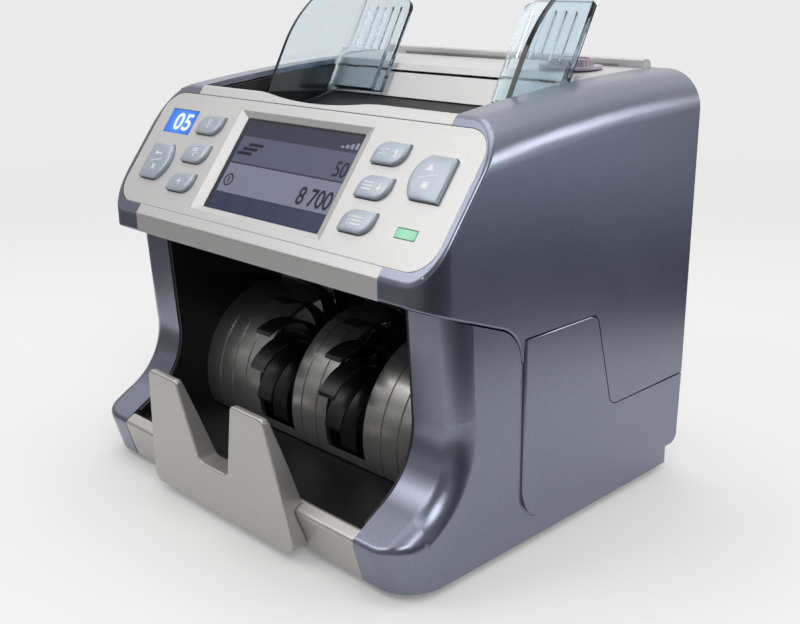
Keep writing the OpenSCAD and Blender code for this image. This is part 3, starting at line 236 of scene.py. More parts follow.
metalLooks = {
    "turnedSteel": {"colour": "#c9cacc", "shade": "#a9abae", "rough": 0.24, "lineMm": 0.8,
                    "stretch": (4.0, 1.0, 1.0)},
    "zincPlatedSheet": {"colour": "#c4c8cc", "shade": "#a8adb2", "rough": 0.36, "lineMm": 6.0,
                        "stretch": (1.0, 1.0, 0.25)},
    "rolledAluminium": {"colour": "#cfd0d2", "shade": "#b8babd", "rough": 0.32, "lineMm": 0.9,
                        "stretch": (0.05, 1.0, 1.0)},
    "nickelContact": {"colour": "#d8d4c8", "shade": "#c2bdb0", "rough": 0.22, "lineMm": 0.6,
                      "stretch": (1.0, 0.1, 1.0)},
}


# cast acrylic sheet, polished on its faces: clear through the sheet, deep blue-green along
# the edges where the light has a long way through
def castAcrylic(name, look):
    material, tree, place = startMaterial(name)
    haze = addNode(tree, "ShaderNodeTexNoise",
                   {"Vector": place, "Scale": perMm(look["hazeMm"]), "Detail": 2.0})
    rough = addNode(tree, "ShaderNodeMapRange", {
        "Value": haze.outputs["Fac"], "To Min": look["polish"], "To Max": look["rough"]})
    surface = addNode(tree, "ShaderNodeBsdfPrincipled", {
        "Base Color": toLinear(look["colour"]), "Roughness": rough.outputs["Result"],
        "IOR": look["ior"], "Transmission Weight": 1.0})
    depth = addNode(tree, "ShaderNodeVolumeAbsorption", {
        "Color": toLinear(look["depth"]), "Density": look["density"]})
    addNode(tree, "ShaderNodeOutputMaterial", {
        "Surface": surface.outputs["BSDF"], "Volume": depth.outputs["Volume"]})
    return material


acrylicLook = {"colour": "#f1f8fb", "depth": "#7aa6c0", "density": 42.0, "polish": 0.01, "rough": 0.04,
               "hazeMm": 14, "ior": 1.49}

# the lit display: bands of one colour each up the panel, behind a satin window, with a painted shadow of the
# bezel's recess along its left edge
displayLook = {
    "low": 13.5, "high": 66.2, "rough": 0.26, "glow": 0.14, "ior": 1.36,
    "marginMm": 3.6, "margin": "#2b2d3a", "dotMm": 0.5, "dots": 0.03, "dotDeepMm": 0.02,
    "bands": ((13.5, "#2d3450"), (23.3, "#777a8e"), (39.8, "#24263a"), (40.5, "#53566c"), (55.5, "#303243"),
              (64.6, "#1c1d26"))}


def displayWindow(name, look):
    material, tree, place = startMaterial(name)
    up = (0.0, math.cos(slope), math.sin(slope))
    rise = addNode(tree, "ShaderNodeVectorMath", {0: place, 1: up}, operation="DOT_PRODUCT")
    foot = panelPlace @ Vector((0, look["low"], 0))
    head = panelPlace @ Vector((0, look["high"], 0))
    share = addNode(tree, "ShaderNodeMapRange", {
        "Value": rise.outputs["Value"], "From Min": foot.dot(Vector(up)), "From Max": head.dot(Vector(up))})
    span = look["high"] - look["low"]
    bands = addNode(tree, "ShaderNodeValToRGB", {"Fac": share.outputs["Result"]},
                    [((v - look["low"]) / span, toLinear(c)) for v, c in look["bands"]])
    bands.color_ramp.interpolation = "CONSTANT"
    across = addNode(tree, "ShaderNodeSeparateXYZ", {"Vector": place})
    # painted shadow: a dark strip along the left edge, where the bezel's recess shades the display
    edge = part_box("display_glass")[0].x
    clearOfRecessShade = addNode(tree, "ShaderNodeMath", {
        0: across.outputs["X"], 1: edge + look["marginMm"] * mm}, operation="GREATER_THAN")
    tone = addNode(tree, "ShaderNodeMix", {
        "Factor": clearOfRecessShade.outputs["Value"], 6: toLinear(look["margin"]), 7: bands.outputs["Color"]},
        data_type="RGBA")
    dots = addNode(tree, "ShaderNodeTexNoise",
                   {"Vector": place, "Scale": perMm(look["dotMm"]), "Detail": 0.0})
    bump = addNode(tree, "ShaderNodeBump", {
        "Height": dots.outputs["Fac"], "Strength": look["dots"], "Distance": look["dotDeepMm"] * mm})
    surface = addNode(tree, "ShaderNodeBsdfPrincipled", {
        "Base Color": tone.outputs[2], "Roughness": look["rough"], "Normal": bump.outputs["Normal"],
        "Emission Color": tone.outputs[2], "Emission Strength": look["glow"], "IOR": look["ior"]})
    addNode(tree, "ShaderNodeOutputMaterial", {"Surface": surface.outputs["BSDF"]})
    return material


lensBody = {"rough": 0.18, "ior": 1.58}


# tinted polycarbonate with a lamp behind it: brighter in the middle of the window
def litLens(name, look):
    material, tree, place = startMaterial(name)
    away = addNode(tree, "ShaderNodeVectorMath", {0: place, 1: look["middle"]}, operation="DISTANCE")
    glow = addNode(tree, "ShaderNodeMapRange", {
        "Value": away.outputs["Value"], "From Max": look["reachMm"] * mm})
    tone = addNode(tree, "ShaderNodeValToRGB", {"Fac": glow.outputs["Result"]}, [
        (0.0, toLinear(look["bright"])), (1.0, toLinear(look["colour"]))])
    surface = addNode(tree, "ShaderNodeBsdfPrincipled", {
        "Base Color": tone.outputs["Color"], "Roughness": lensBody["rough"], "IOR": lensBody["ior"],
        "Emission Color": tone.outputs["Color"], "Emission Strength": look["glow"]})
    addNode(tree, "ShaderNodeOutputMaterial", {"Surface": surface.outputs["BSDF"]})
    return material


def middleOf(node):
    low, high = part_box(node)
    return (low + high) / 2


lensLooks = {
    "blueLitWindow": {"colour": "#2360c8", "bright": "#4d9bff", "glow": 0.35, "reachMm": 15,
                      "middle": middleOf("digit_window")},
    "whiteLitInk": {"colour": "#dfeaff", "bright": "#f4f8ff", "glow": 0.3, "reachMm": 15,
                    "middle": middleOf("digit_window")},
    "greenLens": {"colour": "#74c79b", "bright": "#9fe8bf", "glow": 0.12, "reachMm": 8,
                  "middle": middleOf("status_lens")},
}


# epoxy glass board under green solder mask: copper tracks show through as paler lines
def circuitBoard(name, look):
    material, tree, place = startMaterial(name)
    tracks = addNode(tree, "ShaderNodeTexBrick", {
        "Vector": place, "Scale": perMm(look["trackMm"]), "Color1": toLinear(look["mask"]),
        "Color2": toLinear(look["shade"]), "Mortar": toLinear(look["track"]),
        "Mortar Size": look["trackWide"]})
    surface = addNode(tree, "ShaderNodeBsdfPrincipled", {
        "Base Color": tracks.outputs["Color"], "Roughness": look["rough"], "IOR": look["ior"]})
    addNode(tree, "ShaderNodeOutputMaterial", {"Surface": surface.outputs["BSDF"]})
    return material


boardLook = {"mask": "#14532f", "shade": "#10472a", "track": "#2d7a4a", "trackMm": 9,
             "trackWide": 0.03, "rough": 0.32, "ior": 1.55}

finishes = {}
for make, looks in (
        (sprayedPaint, paintLooks), (mouldedPlastic, plasticLooks), (workedMetal, metalLooks),
        (litLens, lensLooks), (castAcrylic, {"blueGreenAcrylic": acrylicLook}),
        (displayWindow, {"displayWindow": displayLook}), (circuitBoard, {"maskedBoard": boardLook})):
    for name, look in looks.items():
        finishes[name] = make(name, look)
print("finishes made:", len(finishes))

shells = [side + "_" + level + "_shell" for side in ("right", "left") for level in ("upper", "lower")]
keys = ["key_" + name for name in
        ("start", "back", "up_arrow", "down_arrow", "report", "select", "batch", "add")]

# which solids carry which finish, and how far their edges are rounded in mm
dressing = (
    ("blueGreyMetallicPaint", 0, shells),
    ("satinSilverPaint", 0.35, ("fascia", "top_trim", "lip_trim", "rear_door")),
    ("satinSilverPaint", 0, ("top_cover",)),
    ("satinBarPaint", 1.1, ("front_bar", "pocket_plate")),
    ("mouldedKeyAbs", 0, keys),
    ("displayWindow", 0, ("display_glass",)),
    ("blueLitWindow", 0.2, ("digit_window",)),
    ("greenLens", 0.3, ("status_lens",)),
    ("blackMouldedAbs", 0.25, ("hopper_tray", "pocket_liner", "power_inlet", "power_rocker")),
    ("darkMouldedAbs", 0.3, ("base_pan", "rear_panel", "front_sensor_bar", "rear_sensor_bar")),
    ("satinDrumPaint", 0.25, ("drum_guide",)),
    ("blackFingerAcetal", 0.2, ("finger_wheels",)),
    ("blueGreenAcrylic", 0.35, ("right_guide", "left_guide")),
    ("ivoryAcetal", 0, ("right_rack", "left_rack", "rack_pinion")),
    ("lilacKnobAbs", 0.3, ("gap_knob",)),
    ("rollerRubber", 0.5, ("pickup_rollers", "feed_rollers", "main_rollers", "pinch_rollers")),
    ("turnedSteel", 0.2, ("pickup_shaft", "feed_shaft", "main_shaft", "finger_shaft", "motor_pulley",
                          "screws")),
    ("brownPadRubber", 0.3, ("separator_pad",)),
    ("beltRubber", 0, ("drive_belt", "feed_belt", "finger_belt")),
    ("maskedBoard", 0, ("mainboard", "keypad_board")),
    ("zincPlatedSheet", 0.2, ("right_side_plate", "left_side_plate")),
    ("rolledAluminium", 0.3, ("power_supply", "display_module")),
    ("motorEnamel", 0.6, ("drive_motor",)),
    ("footRubber", 0.5, ("feet",)),
)

edgeRound = {"steps": 3, "crispSteps": 7, "from": 32, "weight": 80}
joinGap = 0.001 * mm  # corners closer than this are one
flatAngle = math.radians(0.3)  # faces that turn less than this are one


def evenShade(piece, keepSharp):
    shade = piece.modifiers.new("evenShade", "WEIGHTED_NORMAL")
    shade.keep_sharp = keepSharp
    shade.weight = edgeRound["weight"]


def softenEdges(node, width, crisp):
    node.modifiers.new("joinFaces", "WELD").merge_threshold = joinGap
    if width:
        flat = node.modifiers.new("flatFaces", "DECIMATE")
        flat.decimate_type = "DISSOLVE"
        flat.angle_limit = flatAngle
        bevel = node.modifiers.new("roundEdges", "BEVEL")
        bevel.width = width * mm
        bevel.segments = edgeRound["crispSteps"] if crisp else edgeRound["steps"]
        bevel.limit_method = "ANGLE"
        bevel.angle_limit = math.radians(edgeRound["from"])
        bevel.use_clamp_overlap = False
        bevel.miter_outer = "MITER_ARC"
    if crisp:
        split = node.modifiers.new("crispEdges", "EDGE_SPLIT")
        split.split_angle = math.radians(crisp)
    evenShade(node, False)


crispFrom = {"fascia": 14, "top_cover": 20}  # degrees from which a low slope still shows an edge
for finish, edge, members in dressing:
    for member in members:
        part = nodes[member]
        part.data.materials.clear()
        part.data.materials.append(finishes[finish])
        if edge or member in crispFrom:
            softenEdges(part, edge, crispFrom.get(member, 0))
print("solids dressed:", sum(len(m) for _, _, m in dressing))


def addObject(name, data):
    made = bpy.data.objects.new(name, data)
    bpy.context.scene.collection.objects.link(made)
    return made


def addPiece(name, work, body, finish):
    mesh = bpy.data.meshes.new(name)
    work.to_mesh(mesh)
    work.free()
    mesh.materials.append(finishes[finish])
    piece = addObject(name, mesh)
    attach(piece, body)
    return piece


def solidCopy(node, gap):
    work = bmesh.new()
    work.from_mesh(nodes[node].data)
    bmesh.ops.remove_doubles(work, verts=work.verts[:], dist=gap)
    return work


def joinFlats(work):
    bmesh.ops.dissolve_limit(work, angle_limit=flatAngle, verts=work.verts[:], edges=work.edges[:])


def joinRings(work, lower, upper):
    for i in range(len(lower)):
        after = (i + 1) % len(lower)
        work.faces.new((lower[i], lower[after], upper[after], upper[i]))


def smoothBelow(work, degrees):
    for face in work.faces:
        face.smooth = True
    for edge in work.edges:
        edge.smooth = len(edge.link_faces) == 2 and edge.calc_face_angle() < math.radians(degrees)


# painted shells as moulded: copies whose rim, toe and side edges are rolled over, each looked for
# in its own box of y and z, from and to in mm
edgeBoxes = {
    "toe": ((-200, 20), (200, 32)), "lip": ((-200, 90), (-23, 140)), "bright": ((-22, 95), (200, 112)),
    "groove": ((-24.6, 28.0), (-5.0, 107.0)), "bend": ((-26.0, 14.0), (5.0, 33.0))}
# where the side groove turns and runs out, in mm and degrees
grooveBend = {"middle": (-7.85, 31.1), "reach": 12.5, "out": 17.5, "under": 0.5, "deep": 1.6,
              "from": 200, "to": 270, "closeAt": 16.1, "joinMm": 0.005}
panelNormal = Vector((0, -math.sin(slope), math.cos(slope)))
panelMiddle = panelPlace @ Vector((0, panel["middle"], 0))
facesPanel = 0.99  # from this share of its normal on, a face lies along the panel
sideSkin = 0.3 * mm  # an edge this near the widest point is on the side
straightOut = 0.98  # from this share on, a face looks straight out of the side
acrossSide = 0.3  # and below this one it stands across it
seamFrom = 2 * mm  # shorter edges of a seam stay as they are


def bothNormals(edge):
    first, second = (face.normal for face in edge.link_faces)
    return (first, second) if first.dot(panelNormal) > second.dot(panelNormal) else (second, first)


def edgeMiddle(edge):
    return (edge.verts[0].co + edge.verts[1].co) / 2


def onRim(edge):
    first, second = bothNormals(edge)
    return first.dot(panelNormal) > facesPanel and second.dot(edgeMiddle(edge) - panelMiddle) > 0.01


def inBox(edge, box):
    (y0, z0), (y1, z1) = edgeBoxes[box]
    middle = edgeMiddle(edge)
    return y0 * mm < middle.y < y1 * mm and z0 * mm < middle.z < z1 * mm


def onSide(edge):
    return abs(edgeMiddle(edge).x) > cadBox[1].x - sideSkin


def flatAndWall(edge):
    return sorted((face.normal for face in edge.link_faces), key=lambda n: -abs(n.x))


# the edges are told apart by their faces' normals, in shares of one
def onToe(edge):
    upper, under = bothNormals(edge)
    forward = upper.y < -0.1 and under.y < -0.1
    return inBox(edge, "toe") and forward and upper.z > 0.1 and under.z < 0


def onLip(edge):
    under, front = sorted(face.normal.z for face in edge.link_faces)
    return inBox(edge, "lip") and under < -0.25 and abs(front) < 0.35


def onGroove(edge):
    flat, wall = flatAndWall(edge)
    square = abs(flat.x) > straightOut and abs(wall.x) < acrossSide
    return inBox(edge, "groove") and square and min(wall.y, wall.z) < -0.2


def onBright(edge):
    flat, wall = flatAndWall(edge)
    return inBox(edge, "bright") and onSide(edge) and abs(flat.x) > straightOut and wall.z > 0.8


def onSeam(edge):
    flat, wall = flatAndWall(edge)
    square = abs(flat.x) > straightOut and abs(wall.x) < acrossSide
    return onSide(edge) and square and not inBox(edge, "bend") and edge.calc_length() > seamFrom


# round its bend the groove narrows to a point and its floor comes up to the side
def fadeGroove(work):
    for v in work.verts:
        depth = cadBox[1].x - abs(v.co.x)
        y, z = v.co.y / mm - grooveBend["middle"][0], v.co.z / mm - grooveBend["middle"][1]
        near = -grooveBend["out"] < y < grooveBend["reach"] and -grooveBend["out"] < z < -grooveBend["under"]
        if depth >= grooveBend["deep"] * mm or not near:
            continue
        turn = math.degrees(math.atan2(z, y)) % 360
        share = (turn - grooveBend["from"]) / (grooveBend["to"] - grooveBend["from"])
        share = min(max(share, 0.0), 1.0)
        v.co.x += math.copysign(depth * share ** 2, v.co.x)
        if turn < grooveBend["to"] + 1:
            pull = 1 + (grooveBend["closeAt"] / math.hypot(y, z) - 1) * share
            v.co.y = (grooveBend["middle"][0] + y * pull) * mm
            v.co.z = (grooveBend["middle"][1] + z * pull) * mm
    bmesh.ops.remove_doubles(work, verts=work.verts[:], dist=grooveBend["joinMm"] * mm)


# how far each edge is rolled in mm, and in how many steps
rolledEdges = {onRim: (1.9, 4), onToe: (3.2, 4), onLip: (1.3, 3), onGroove: (1.1, 3), onBright: (1.2, 3),
               onSeam: (0.55, 2)}
rollFrom = math.radians(12)  # flatter edges stay as they are


def rolledShell(node):
    work = solidCopy(node, joinGap)
    if "lower" in node:
        fadeGroove(work)
    joinFlats(work)
    for chosen, (width, steps) in rolledEdges.items():
        edges = [e for e in work.edges if len(e.link_faces) == 2 and e.is_convex
                 and e.calc_face_angle() > rollFrom and chosen(e)]
        bmesh.ops.bevel(work, geom=edges, offset=width * mm, offset_type="OFFSET", segments=steps,
                        profile=0.5, affect="EDGES", clamp_overlap=False)
    smoothBelow(work, degrees=34)
    side, level = node.split("_")[:2]
    name = side + level.capitalize() + "Skin"
    skin = addPiece(name, work, "casing", "blueGreyMetallicPaint")
    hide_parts(node)
    evenShade(skin, True)


for shell in shells:
    rolledShell(shell)
print("shell skins rolled")

# keys with a pillowed top: each ring is a share of the outline, raised by so many mm
pillow = ((0.985, 0.2), (0.955, 0.36), (0.9, 0.5), (0.8, 0.64), (0.66, 0.74), (0.45, 0.78))
keyJoin = 0.02 * mm  # corners of a key's outline closer than this are one


def panelSpan(node):
    points = [panelPlace.inverted() @ v.co for v in nodes[node].data.vertices]
    return [Vector(f(p[i] for p in points) for i in range(3)) for f in (min, max)]


def keyTitle(key):
    return "".join(part.capitalize() for part in key.split("_")[1:])


def pillowKey(node):
    work = solidCopy(node, keyJoin)
    joinFlats(work)
    top = max((f for f in work.faces if f.normal.dot(panelNormal) > facesPanel),
              key=lambda f: f.calc_center_median().dot(panelNormal))
    ring = top.verts[:]
    outline = [v.co.copy() for v in ring]
    middle = sum(outline, Vector()) / len(outline)
    work.faces.remove(top)
    for share, rise in pillow:
        inner = [work.verts.new(middle + (p - middle) * share + panelNormal * rise * mm) for p in outline]
        joinRings(work, ring, inner)
        ring = inner
    work.faces.new(ring)
    smoothBelow(work, degrees=50)
    skin = addPiece("pillow" + keyTitle(node) + "Key", work, node, "mouldedKeyAbs")
    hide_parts(node)


for key in keys:
    pillowKey(key)
print("keys pillowed:", len(keys))


# flat marks in mm on the panel, each a list of outlines
def strokeMark(start, end, width):
    start, end = Vector(start), Vector(end)
    along = (end - start).normalized()
    side = Vector((-along.y, along.x)) * width / 2
    return [[start + side, start - side, end - side, end + side]]


def rowMarks(left, right, heights, width):
    return [c for v in heights for c in strokeMark((left, v), (right, v), width)]


def ringMark(middle, radius, width, turns=20):
    angles = [2 * math.pi * i / turns for i in range(turns + 1)]
    rim = [Vector((math.cos(a), math.sin(a))) for a in angles]
    middle = Vector(middle)
    inner = radius - width
    return [[middle + a * radius, middle + b * radius, middle + b * inner, middle + a * inner]
            for a, b in zip(rim, rim[1:])]


def crossMark(middle, reach, width, turn):
    h = width / 2
    quarter = [(h, h), (h, reach), (-h, reach)]
    spin = [Matrix.Rotation(math.radians(turn + 90 * i), 2) for i in range(4)]
    return [[Vector(middle) + m @ Vector(c) for m in spin for c in quarter]]


def blockMark(low, high):
    return [[Vector(low), Vector((high[0], low[1])), Vector(high), Vector((low[0], high[1]))]]


# a row of blocks, whose corners each move on by their own step
def stepMarks(low, high, lowStep, highStep, count):
    low, high, lowStep, highStep = (Vector(p) for p in (low, high, lowStep, highStep))
    return [c for i in range(count) for c in blockMark(low + lowStep * i, high + highStep * i)]


def pointMark(middle, across, up):
    u, v = middle
    return [[Vector((u - across, v)), Vector((u + across, v)), Vector((u, v + up))]]


def gemMark(middle, reach):
    u, v = middle
    return [[Vector((u - reach, v)), Vector((u, v - reach)), Vector((u + reach, v)), Vector((u, v + reach))]]


markJoin = 0.01  # corners of marks closer than this, in mm, are one


def printMarks(name, shapes, at, body, finish, film=0.06, place=panelPlace):
    work = bmesh.new()
    for shape in shapes:
        work.faces.new([work.verts.new((at[0] + c.x, at[1] + c.y, at[2])) for c in shape])
    bmesh.ops.remove_doubles(work, verts=work.verts[:], dist=markJoin)
    lifted = bmesh.ops.extrude_face_region(work, geom=work.faces[:])["geom"]
    top = [g for g in lifted if isinstance(g, bmesh.types.BMVert)]
    bmesh.ops.translate(work, verts=top, vec=(0, 0, film))
    bmesh.ops.recalc_face_normals(work, faces=work.faces[:])
    bmesh.ops.transform(work, matrix=place, verts=work.verts[:])
    return addPiece(name, work, body, finish)


# lap that closes the joint between the front panel and the strip below it
low, high = panelSpan("fascia")
lap = {"under": 0.8, "over": 0.5, "deep": 0.9, "film": 0.66, "ends": 2.0}
lapOutline = blockMark(
    (low.x + lap["ends"], low.y - lap["under"]), (high.x - lap["ends"], low.y + lap["over"]))
printMarks("panelLap", lapOutline, (0, 0, -lap["deep"]), "casing", "satinSilverPaint",
           film=lap["film"])

# printed signs of the keys, in mm from the middle of each key
divider = strokeMark((2.1, -2.4), (2.1, 2.4), 0.25)
arrowUp = strokeMark((4.6, -2.2), (4.6, 0.2), 1.1) + pointMark((4.6, 0.2), 1.7, 2.2)
arrowDown = strokeMark((4.6, -0.2), (4.6, 2.2), 1.1) + pointMark((4.6, -0.2), -1.7, -2.2)
arrowBack = strokeMark((-2.2, 4.2), (2.6, 4.2), 0.8) + [
    [Vector((-2.2, 2.7)), Vector((-2.2, 5.7)), Vector((-4.4, 4.2))]]
listRows = (1.8, 0.0, -1.8)
keySigns = {
    "key_start": pointMark((-1.0, 3.0), 2.4, 3.4) + strokeMark((-5.4, -0.9), (5.0, 1.7), 0.5)
        + blockMark((-1.4, -5.6), (2.0, -2.4)),
    "key_back": arrowBack + strokeMark((-5.0, -1.1), (4.6, 1.3), 0.5) + crossMark((0.2, -4.0), 2.2, 0.8, 45),
    "key_up_arrow": rowMarks(-6.2, 0.4, (1.2, -1.2), 0.5) + gemMark((-4.2, 1.2), 1.1)
        + gemMark((-1.6, -1.2), 1.1) + divider + arrowUp,
    "key_down_arrow": rowMarks(-6.2, 0.4, (1.7, 0, -1.7), 0.7) + divider + arrowDown,
    "key_report": rowMarks(-2.6, 4.4, listRows, 0.6) + rowMarks(-4.6, -3.8, listRows, 0.8),
    "key_select": ringMark((0, 1.5), 1.3, 0.45) + rowMarks(-4.2, 4.2, (-0.4,), 0.2) + gemMark((0, -1.7), 0.8),
    "key_batch": rowMarks(-2.4, 2.4, (2.3, 1.1), 0.6) + rowMarks(-4.2, 4.2, (-0.2,), 0.2)
        + gemMark((0, -1.6), 0.8),
    "key_add": crossMark((0, 0), 2.0, 0.8, 0),
}
keyInk = {"sink": 0.17, "film": 0.2}  # mm below the key's crown, and thickness
keyCrown = pillow[-1][1]
for key, signs in keySigns.items():
    low, high = panelSpan(key)
    middle = (low + high) / 2
    at = (middle.x, middle.y, high.z + keyCrown - keyInk["sink"])
    printMarks("sign" + keyTitle(key), signs, at, key, "whiteKeyInk", film=keyInk["film"])
print("key signs printed:", len(keySigns))

figureFilm = 0.05  # half the thickness of a printed figure in mm


# figures in the plain built-in typeface, set flush right
def printFigures(name, text, look, finish):
    curve = bpy.data.curves.new(name, "FONT")
    curve.body = text
    curve.align_x = "RIGHT"
    curve.space_character = look["spacing"]
    curve.offset = look["weight"]
    curve.extrude = 0.02  # any depth: both faces are set to the film below
    holder = addObject(name, curve)
    bpy.context.view_layer.update()
    outline = bpy.data.meshes.new_from_object(holder)
    bpy.data.objects.remove(holder)
    bpy.data.curves.remove(curve)
    work = bmesh.new()
    work.from_mesh(outline)
    bpy.data.meshes.remove(outline)
    bmesh.ops.remove_doubles(work, verts=work.verts[:], dist=0.0001)  # in the typeface's own units
    low = Vector(min(v.co[i] for v in work.verts) for i in range(3))
    high = Vector(max(v.co[i] for v in work.verts) for i in range(3))
    grow = look["tall"] / (high.y - low.y)
    for v in work.verts:
        v.co = Vector((look["right"] + (v.co.x - high.x) * grow * look["narrow"],
                       look["foot"] + (v.co.y - low.y) * grow,
                       look["face"] + math.copysign(figureFilm, v.co.z)))
    bmesh.ops.transform(work, matrix=panelPlace, verts=work.verts[:])
    return addPiece(name, work, "casing", finish)


# what the lit display shows: two figures, a stack, a ring and small bars
screenFace = panelSpan("display_glass")[1].z
figureLooks = {
    "noteCount": ("50", {"tall": 8.2, "right": 45.0, "foot": 42.4, "narrow": 0.86, "weight": 0.012,
                         "spacing": 1.0, "face": screenFace}),
    "noteSum": ("8 700", {"tall": 9.8, "right": 44.6, "foot": 25.0, "narrow": 0.84, "weight": 0.016,
                          "spacing": 0.97, "face": screenFace}),
}
for name, (text, look) in figureLooks.items():
    printFigures(name, text, look, "darkScreenInk")
screenLook = {
    "sink": 0.02,
    "stack": {"low": (-40.6, 45.2), "high": (-28.6, 47.0), "lowStep": (3.2, 2.6), "highStep": (3.2, 2.6),
              "count": 3},
    "ring": {"middle": (-36.2, 30.4), "radius": 3.6, "width": 0.9, "turns": 28},
    "ringStroke": {"start": (-36.2, 28.6), "end": (-36.2, 32.2), "width": 0.9},
    "bars": {"low": (33.0, 57.6), "high": (35.2, 58.6), "lowStep": (3.2, 0), "highStep": (3.2, 0.8),
             "count": 4},
    "tabs": (-29.3, -10.6, 9.1, 28.7), "tabFoot": 14.2, "tabHead": 22.8, "tabLine": 0.35}
stackAndRing = (stepMarks(**screenLook["stack"]) + ringMark(**screenLook["ring"])
                + strokeMark(**screenLook["ringStroke"]))
tabs = [c for u in screenLook["tabs"] for c in strokeMark(
    (u, screenLook["tabFoot"]), (u, screenLook["tabHead"]), screenLook["tabLine"])]
for name, shapes, ink in (("screenSigns", stackAndRing, "darkScreenInk"),
                          ("screenBars", stepMarks(**screenLook["bars"]), "paleScreenInk"),
                          ("screenTabs", tabs, "tabScreenInk")):
    printMarks(name, shapes, (0, 0, screenFace - screenLook["sink"]), "casing", ink)
low, high = panelSpan("digit_window")
digitTall = 10.6
printFigures("batchDigits", "05", {
    "tall": digitTall, "right": high.x - 2.6, "foot": (low.y + high.y - digitTall) / 2, "narrow": 1.12,
    "weight": 0.02, "spacing": 1.04, "face": high.z}, "whiteLitInk")
print("display figures set")


# pan-head screws with a cross recess, each ring as radius and height in shares of the head
screwLook = {"rings": ((1.0, -0.2), (1.0, 0.3), (0.93, 0.62), (0.78, 0.86), (0.62, 1.0)), "tall": 0.5,
             "cross": 0.5, "arm": 0.2, "deep": 0.55, "taper": 0.6, "turns": 24}
rearFace = 111.85  # y of the rear panel in mm
inletFace = rearFace + 1.8
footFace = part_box("feet")[0].z / mm + 1.6
screwSets = {
    "rearScrews": {"spots": [(x, rearFace, z) for x in (-88, 88) for z in (22, 48)],
                   "out": (0, 1, 0), "radius": 2.8},
    "inletScrews": {"spots": [(x, inletFace, 35) for x in (-72, -44)],
                    "out": (0, 1, 0), "radius": 1.7},
    "footScrews": {"spots": [(x, y, footFace) for x in (-84, 84) for y in (-64.8, 83.1)],
                   "out": (0, 0, -1), "radius": 2.6},
}


def crossScrews(name, spots, out, radius):
    work = bmesh.new()
    turned = Vector(out).to_track_quat("Z", "Y").to_matrix()
    tall = radius * screwLook["tall"]
    turns = [2 * math.pi * i / screwLook["turns"] for i in range(screwLook["turns"])]
    cross = crossMark((0, 0), radius * screwLook["cross"], radius * screwLook["arm"], 0)[0]
    for spot in spots:
        loops = [[Vector((r * radius * math.cos(a), r * radius * math.sin(a), z * tall)) for a in turns]
                 for r, z in screwLook["rings"]]
        recess = [[Vector((c.x * s, c.y * s, z * tall)) for c in cross]
                  for s, z in ((1.0, 1.0), (screwLook["taper"], 1.0 - screwLook["deep"]))]
        made = [[work.verts.new((Vector(spot) + turned @ p) * mm) for p in loop] for loop in loops + recess]
        work.faces.new(made[0][::-1])
        for lower, upper in list(zip(made[:len(loops)], made[1:len(loops)])) + [(made[-2], made[-1])]:
            joinRings(work, lower, upper)
        work.faces.new(made[-1])
        rim = [work.edges.get((made[k][i], made[k][(i + 1) % len(made[k])]))
               for k in (len(loops) - 1, len(loops)) for i in range(len(made[k]))]
        bmesh.ops.bridge_loops(work, edges=rim)
    bmesh.ops.recalc_face_normals(work, faces=work.faces[:])
    smoothBelow(work, degrees=40)
    return addPiece(name, work, "casing", "turnedSteel")


for name, places in screwSets.items():
    crossScrews(name, **places)

# three flat contacts in the mains inlet: sections along y, as a share of the half width and height
contacts = {"spots": ((-65, 33.5), (-51, 33.5), (-58, 37.6)), "half": (1.0, 2.0), "corner": 0.8,
            "sections": ((96.9, 1.0), (106.5, 1.0), (107.6, 0.45))}
work = bmesh.new()
for x, z in contacts["spots"]:
    loops = []
    for y, share in contacts["sections"]:
        w, h = (c * share for c in contacts["half"])
        wIn, hIn = w * contacts["corner"], h * contacts["corner"]
        corners = ((w, -hIn), (w, hIn), (wIn, h), (-wIn, h), (-w, hIn), (-w, -hIn), (-wIn, -h), (wIn, -h))
        loops.append([work.verts.new(Vector((x + a, y, z + b)) * mm) for a, b in corners])
    for lower, upper in zip(loops, loops[1:]):
        joinRings(work, lower, upper)
    work.faces.new(loops[0])
    work.faces.new(loops[-1])
bmesh.ops.recalc_face_normals(work, faces=work.faces[:])
addPiece("inletContacts", work, "casing", "nickelContact")

# on and off signs of the mains rocker, a stroke and a ring
rocker = {"middle": (-22, 108.85, 35), "sink": 0.1, "film": 0.16, "halves": {
    "upper": ((3.435, 3.81), (2.53, 8.3), ringMark((0, 0), 2.0, 0.5)),
    "lower": ((2.09, -4.69), (0.16, 8.69), strokeMark((0, -2.1), (0, 2.1), 0.55))}}
for half, ((y, z), along, sign) in rocker["halves"].items():
    up = Vector((0, *along)).normalized()
    side = Vector((-1, 0, 0))
    spot = (Vector(rocker["middle"]) + Vector((0, y, z))) * mm
    turned = Matrix((side, up, side.cross(up))).transposed().to_4x4()
    place = Matrix.Translation(spot) @ turned @ Matrix.Scale(mm, 4)
    printMarks("rocker" + half.capitalize() + "Sign", sign, (0, 0, -rocker["sink"]), "rocker",
               "whiteKeyInk", film=rocker["film"], place=place)

# pointer on the knob that sets the feed gap
pointer = {"from": (-3.0, -3.0), "to": (-6.8, -6.8), "wide": 1.1, "below": 1.0, "sink": 0.2, "film": 0.45}
low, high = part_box("gap_knob")
spot = Vector(((low.x + high.x) / 2, (low.y + high.y) / 2, high.z - pointer["below"] * mm))
place = Matrix.Translation(spot) @ Matrix.Scale(mm, 4)
printMarks("knobPointer", strokeMark(pointer["from"], pointer["to"], pointer["wide"]),
           (0, 0, -pointer["sink"]), "knob", "whiteKeyInk", film=pointer["film"], place=place)
print("fittings placed")


